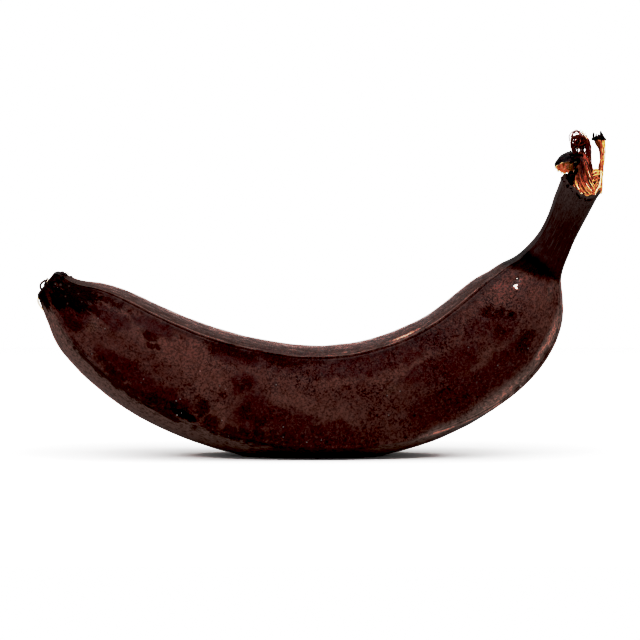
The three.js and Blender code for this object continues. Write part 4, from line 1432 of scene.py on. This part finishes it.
def scale_mesh():
    """A scoop of torn skin: faces of the outside, of the hollow side, and of the broken edge between them."""
    depth = -Vector(SCALE_FACING).normalized()
    across = Vector((1, 0, 0)).cross(depth)
    middle = TORN_MIDDLE + Vector(SCALE_MIDDLE)
    rounds, steps = SCALE_STEPS
    body = bmesh.new()
    rings = []
    for i in range(rounds + 1):
        a = math.radians(mix(*SCALE_LENGTH, i / rounds))
        wide = math.sin(a) ** SCALE_POINT
        edges = [edge + torn * noise.noise((i * often, 0, row))
                 for edge, (torn, often, row) in zip(SCALE_WIDTH, SCALE_TEARS)]
        outside = []
        hollow = []
        for k in range(steps + 1):
            b = math.radians(mix(*edges, k / steps))
            for ring, thin, deep in ((outside, 0, SCALE_RADII[2]), (hollow, SCALE_SOLID, SCALE_HOLLOW)):
                place = Vector((SCALE_RADII[0] * math.cos(a), 0, 0))
                place += across * (SCALE_RADII[1] * wide - thin) * math.cos(b)
                place += depth * deep * wide * math.sin(b)
                crumple = sum(noise.noise(place / size) * height for size, height in SCALE_CRUMPLES)
                place += place.normalized() * crumple
                ring.append(body.verts.new((middle + place) * MM))
        rings.append(outside + hollow[::-1])
    for low, high in zip(rings, rings[1:]):
        for k in range(len(low)):
            face = body.faces.new((low[k - 1], low[k], high[k], high[k - 1]))
            face.material_index = 2 if k in (0, steps + 1) else int(k > steps)
    body.faces.new(rings[0])
    body.faces.new(rings[-1][::-1])
    bmesh.ops.recalc_face_normals(body, faces=body.faces)
    mesh = bpy.data.meshes.new("scale")
    body.to_mesh(mesh)
    body.free()
    mesh.shade_smooth()
    return mesh


# ---------------------------------------------------------------- paper and room


def paper_material(stage):
    """Matt white paper: even and white to the eye, and greyer in what it throws back on the fruit."""
    paper = bpy.data.materials.new("Matt white paper")
    paper.use_nodes = True
    tree = paper.node_tree
    tree.nodes.clear()
    shown, thrown = (
        add(tree, "ShaderNodeBsdfDiffuse", {"Color": tone}) for tone in (stage.floor, stage.bounce))
    direct = add(tree, "ShaderNodeLightPath").outputs["Is Camera Ray"]
    both = add(tree, "ShaderNodeMixShader", [direct, thrown, shown])
    add(tree, "ShaderNodeOutputMaterial", {"Surface": both})
    return paper


def studio_world():
    """A white room, seen as white, that lights the fruit more from behind than from the front."""
    world = bpy.data.worlds.new("studio")
    world.use_nodes = True
    tree = world.node_tree
    tree.nodes.clear()
    facing = add(tree, "ShaderNodeSeparateXYZ", [add(tree, "ShaderNodeTexCoord").outputs["Generated"]])
    backdrop = add(tree, "ShaderNodeMapRange", {
        "Value": facing.outputs["Y"], "From Min": -0.1, "From Max": 0.5,
        "To Min": ROOM_LIGHT, "To Max": BACKDROP_LIGHT}, interpolation_type="SMOOTHSTEP")
    seen, around = (
        add(tree, "ShaderNodeBackground", {"Color": (1, 1, 1, 1), "Strength": strength})
        for strength in (1.0, backdrop))
    direct = add(tree, "ShaderNodeLightPath").outputs["Is Camera Ray"]
    both = add(tree, "ShaderNodeMixShader", [direct, around, seen])
    add(tree, "ShaderNodeOutputWorld", {"Surface": both})
    return world


# ---------------------------------------------------------------- operators


class PLANTAIN_OT_peel(bpy.types.Operator):
    """Sweep the ridged skin of the finger and its stem"""
    bl_idname = "plantain.peel"
    bl_label = "Peel"

    def execute(self, context):
        peel = context.scene.plantain_peel
        section = link("section", section_mesh())
        piece = grow("peel", rail_mesh(), skin_tree(), {
            "Section": section,
            "Bead height": peel.bead_height,
            "Crease depth": peel.crease_depth,
            "Lump height": peel.lump_height,
            "Lump size": peel.lump_size,
            "Wrinkle depth": peel.wrinkle_depth,
            "Wrinkle spacing": peel.wrinkle_spacing,
            "Nominal radius": NOMINAL_RADIUS * MM,
            "Seed": float(DETAIL_SEED),
            "Material": peel_material(peel),
        })
        bpy.data.objects.remove(section)
        settle(piece)
        return {"FINISHED"}


class PLANTAIN_OT_lumps(bpy.types.Operator):
    """Melt the torn pith, the black sap round it, the strip's head and the blossom scar"""
    bl_idname = "plantain.lumps"
    bl_label = "Pith and sap"

    def execute(self, context):
        fibre = context.scene.plantain_fibre
        tree = crust_tree()
        sap = crust_material(fibre)
        draw = Draws(DETAIL_SEED)
        # Name, lumps, where from, how crumpled, size of the crumples each way
        for name, lumps, middle, rough, grain, material in (
                ("pith", pith_lumps(), TORN_MIDDLE, 1.6, (0.8, 0.8, 3.0), pith_material(fibre)),
                ("sap", sap_lumps(draw), TORN_MIDDLE, 1.3, (1.0, 1.0, 1.3), sap),
                ("rim_crumbs", rim_lumps(draw), TORN_MIDDLE, 0.6, (0.7, 0.7, 0.7), sap),
                ("strip_head", head_lumps(), TORN_MIDDLE, 1.0, (0.8, 0.8, 0.8), sap),
                ("scar_crumbs", scar_lumps(draw), Vector(), 1.3, (0.9, 0.9, 0.9), sap)):
            piece = grow(name, lump_mesh(name, lumps, middle), tree, {
                "Voxel": VOXEL * MM,
                "Roughness": rough * MM,
                "Grain": Vector(grain) * MM,
                "Material": material,
            })
            settle(piece)
        return {"FINISHED"}


class PLANTAIN_OT_fibres(bpy.types.Operator):
    """Draw the torn fibres: the fan, the net, the strip and the slack ones"""
    bl_idname = "plantain.fibres"
    bl_label = "Torn fibres"

    def execute(self, context):
        fibre = context.scene.plantain_fibre
        tree = fibre_tree()
        material = fibre_material(fibre)
        draw = Draws(DETAIL_SEED)
        # Name, guide lines, where from, fibres to a line, share of the spread, wobble, spread of tints, tip
        for name, strands, middle, count, spread, wobble, tints, tip in (
                ("fan", fan_strands(draw), TORN_MIDDLE, 2, 0.5, 0.7, 0.3, 0.22),
                ("net", net_strands(draw), TORN_MIDDLE, 2, 0.5, 1.9, 0.3, 0.3),
                ("strip", strip_strands(draw), TORN_MIDDLE, 1, 0.1, 0.9, 0.15, 0.75),
                ("slack", slack_strands(draw), TORN_MIDDLE, 1, 0.1, 1.6, 0.2, 0.22),
                ("scar_threads", scar_strands(), Vector(), 1, 0.1, 0.3, 0.1, 0.4)):
            piece = grow(name, strand_mesh(name, strands, middle), tree, {
                "Fibres": count,
                "Points": FIBRE_POINTS,
                "Sides": FIBRE_SIDES,
                "Thickness": fibre.thickness,
                "Spread": fibre.spread * spread,
                "Wobble": wobble * MM,
                "Wobble size": fibre.wobble,
                "Tint spread": tints,
                "Tip": tip,
                "Seed": DETAIL_SEED,
                "Material": material,
            })
            settle(piece)
        return {"FINISHED"}


class PLANTAIN_OT_scale(bpy.types.Operator):
    """Shape the curled scale of peel: a scoop with a ragged edge"""
    bl_idname = "plantain.scale"
    bl_label = "Curled scale"

    def execute(self, context):
        fibre = context.scene.plantain_fibre
        mesh = scale_mesh()
        for material in (crust_material(fibre), hollow_material(fibre), rim_material(fibre)):
            mesh.materials.append(material)
        settle(link("scale", mesh))
        return {"FINISHED"}


class PLANTAIN_OT_stage(bpy.types.Operator):
    """Set the camera, the soft light, the white floor and room, and the film"""
    bl_idname = "plantain.stage"
    bl_label = "Stage"

    def execute(self, context):
        scene = context.scene
        stage = scene.plantain_stage

        body = bmesh.new()
        bmesh.ops.create_grid(body, x_segments=1, y_segments=1, size=1)
        body.transform(Matrix.Translation(FLOOR_MIDDLE) @ Matrix.Diagonal((*FLOOR_HALF, 1, 1)))
        mesh = bpy.data.meshes.new("floor")
        body.to_mesh(mesh)
        body.free()
        mesh.materials.append(paper_material(stage))
        link("floor", mesh)

        camera_data = bpy.data.cameras.new("camera")
        camera_data.sensor_width = SENSOR
        camera_data.lens = SENSOR * stage.distance / stage.width
        camera_data.clip_end = FARTHEST_SEEN
        camera = link("camera", camera_data)
        way = Vector((0, -math.cos(stage.elevation), math.sin(stage.elevation)))
        camera.location = Vector(AIM) * MM + way * stage.distance
        camera.rotation_euler = (-way).to_track_quat("-Z", "Y").to_euler()
        scene.camera = camera

        lamp_data = bpy.data.lights.new("overhead softbox", "AREA")
        lamp_data.shape = "RECTANGLE"
        lamp_data.size, lamp_data.size_y = LAMP_SIZE
        lamp_data.energy = LAMP_POWER
        lamp = link("overhead softbox", lamp_data)
        lamp.location = LAMP_PLACE
        lamp.rotation_euler = (Vector() - Vector(LAMP_PLACE)).to_track_quat("-Z", "Y").to_euler()
        scene.world = studio_world()

        film = scene.view_settings
        film.view_transform = "Standard"
        film.use_curve_mapping = True
        film.curve_mapping.black_level = [FILM_BLACK] * 3
        curve = film.curve_mapping.curves[3]
        for light, shown in FILM_CURVE:
            curve.points.new(light, shown)
        for point in curve.points:
            point.handle_type = "AUTO_CLAMPED"
        film.curve_mapping.update()
        return {"FINISHED"}


class PLANTAIN_PT_panel(bpy.types.Panel):
    """The plantain's pieces and settings"""
    bl_idname = "PLANTAIN_PT_panel"
    bl_label = "Plantain"
    bl_space_type = "VIEW_3D"
    bl_region_type = "UI"
    bl_category = "Plantain"

    def draw(self, context):
        for group in GROUPS:
            settings = getattr(context.scene, group)
            for name in settings.__annotations__:
                self.layout.prop(settings, name)
        for operator in OPERATORS:
            self.layout.operator(operator.bl_idname)


GROUPS = {
    "plantain_peel": PlantainPeelSettings,
    "plantain_fibre": PlantainFibreSettings,
    "plantain_stage": PlantainStageSettings,
}
OPERATORS = (
    PLANTAIN_OT_peel, PLANTAIN_OT_lumps, PLANTAIN_OT_fibres, PLANTAIN_OT_scale, PLANTAIN_OT_stage)


def register():
    for group, kind in GROUPS.items():
        bpy.utils.register_class(kind)
        setattr(bpy.types.Scene, group, bpy.props.PointerProperty(type=kind))
    for kind in (*OPERATORS, PLANTAIN_PT_panel):
        bpy.utils.register_class(kind)


def unregister():
    for kind in (PLANTAIN_PT_panel, *reversed(OPERATORS)):
        bpy.utils.unregister_class(kind)
    for group, kind in GROUPS.items():
        delattr(bpy.types.Scene, group)
        bpy.utils.unregister_class(kind)


def main():
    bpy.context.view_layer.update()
    register()
    bpy.ops.plantain.peel()
    bpy.ops.plantain.lumps()
    bpy.ops.plantain.fibres()
    bpy.ops.plantain.scale()
    bpy.ops.plantain.stage()


if __name__ == "__main__":
    main()
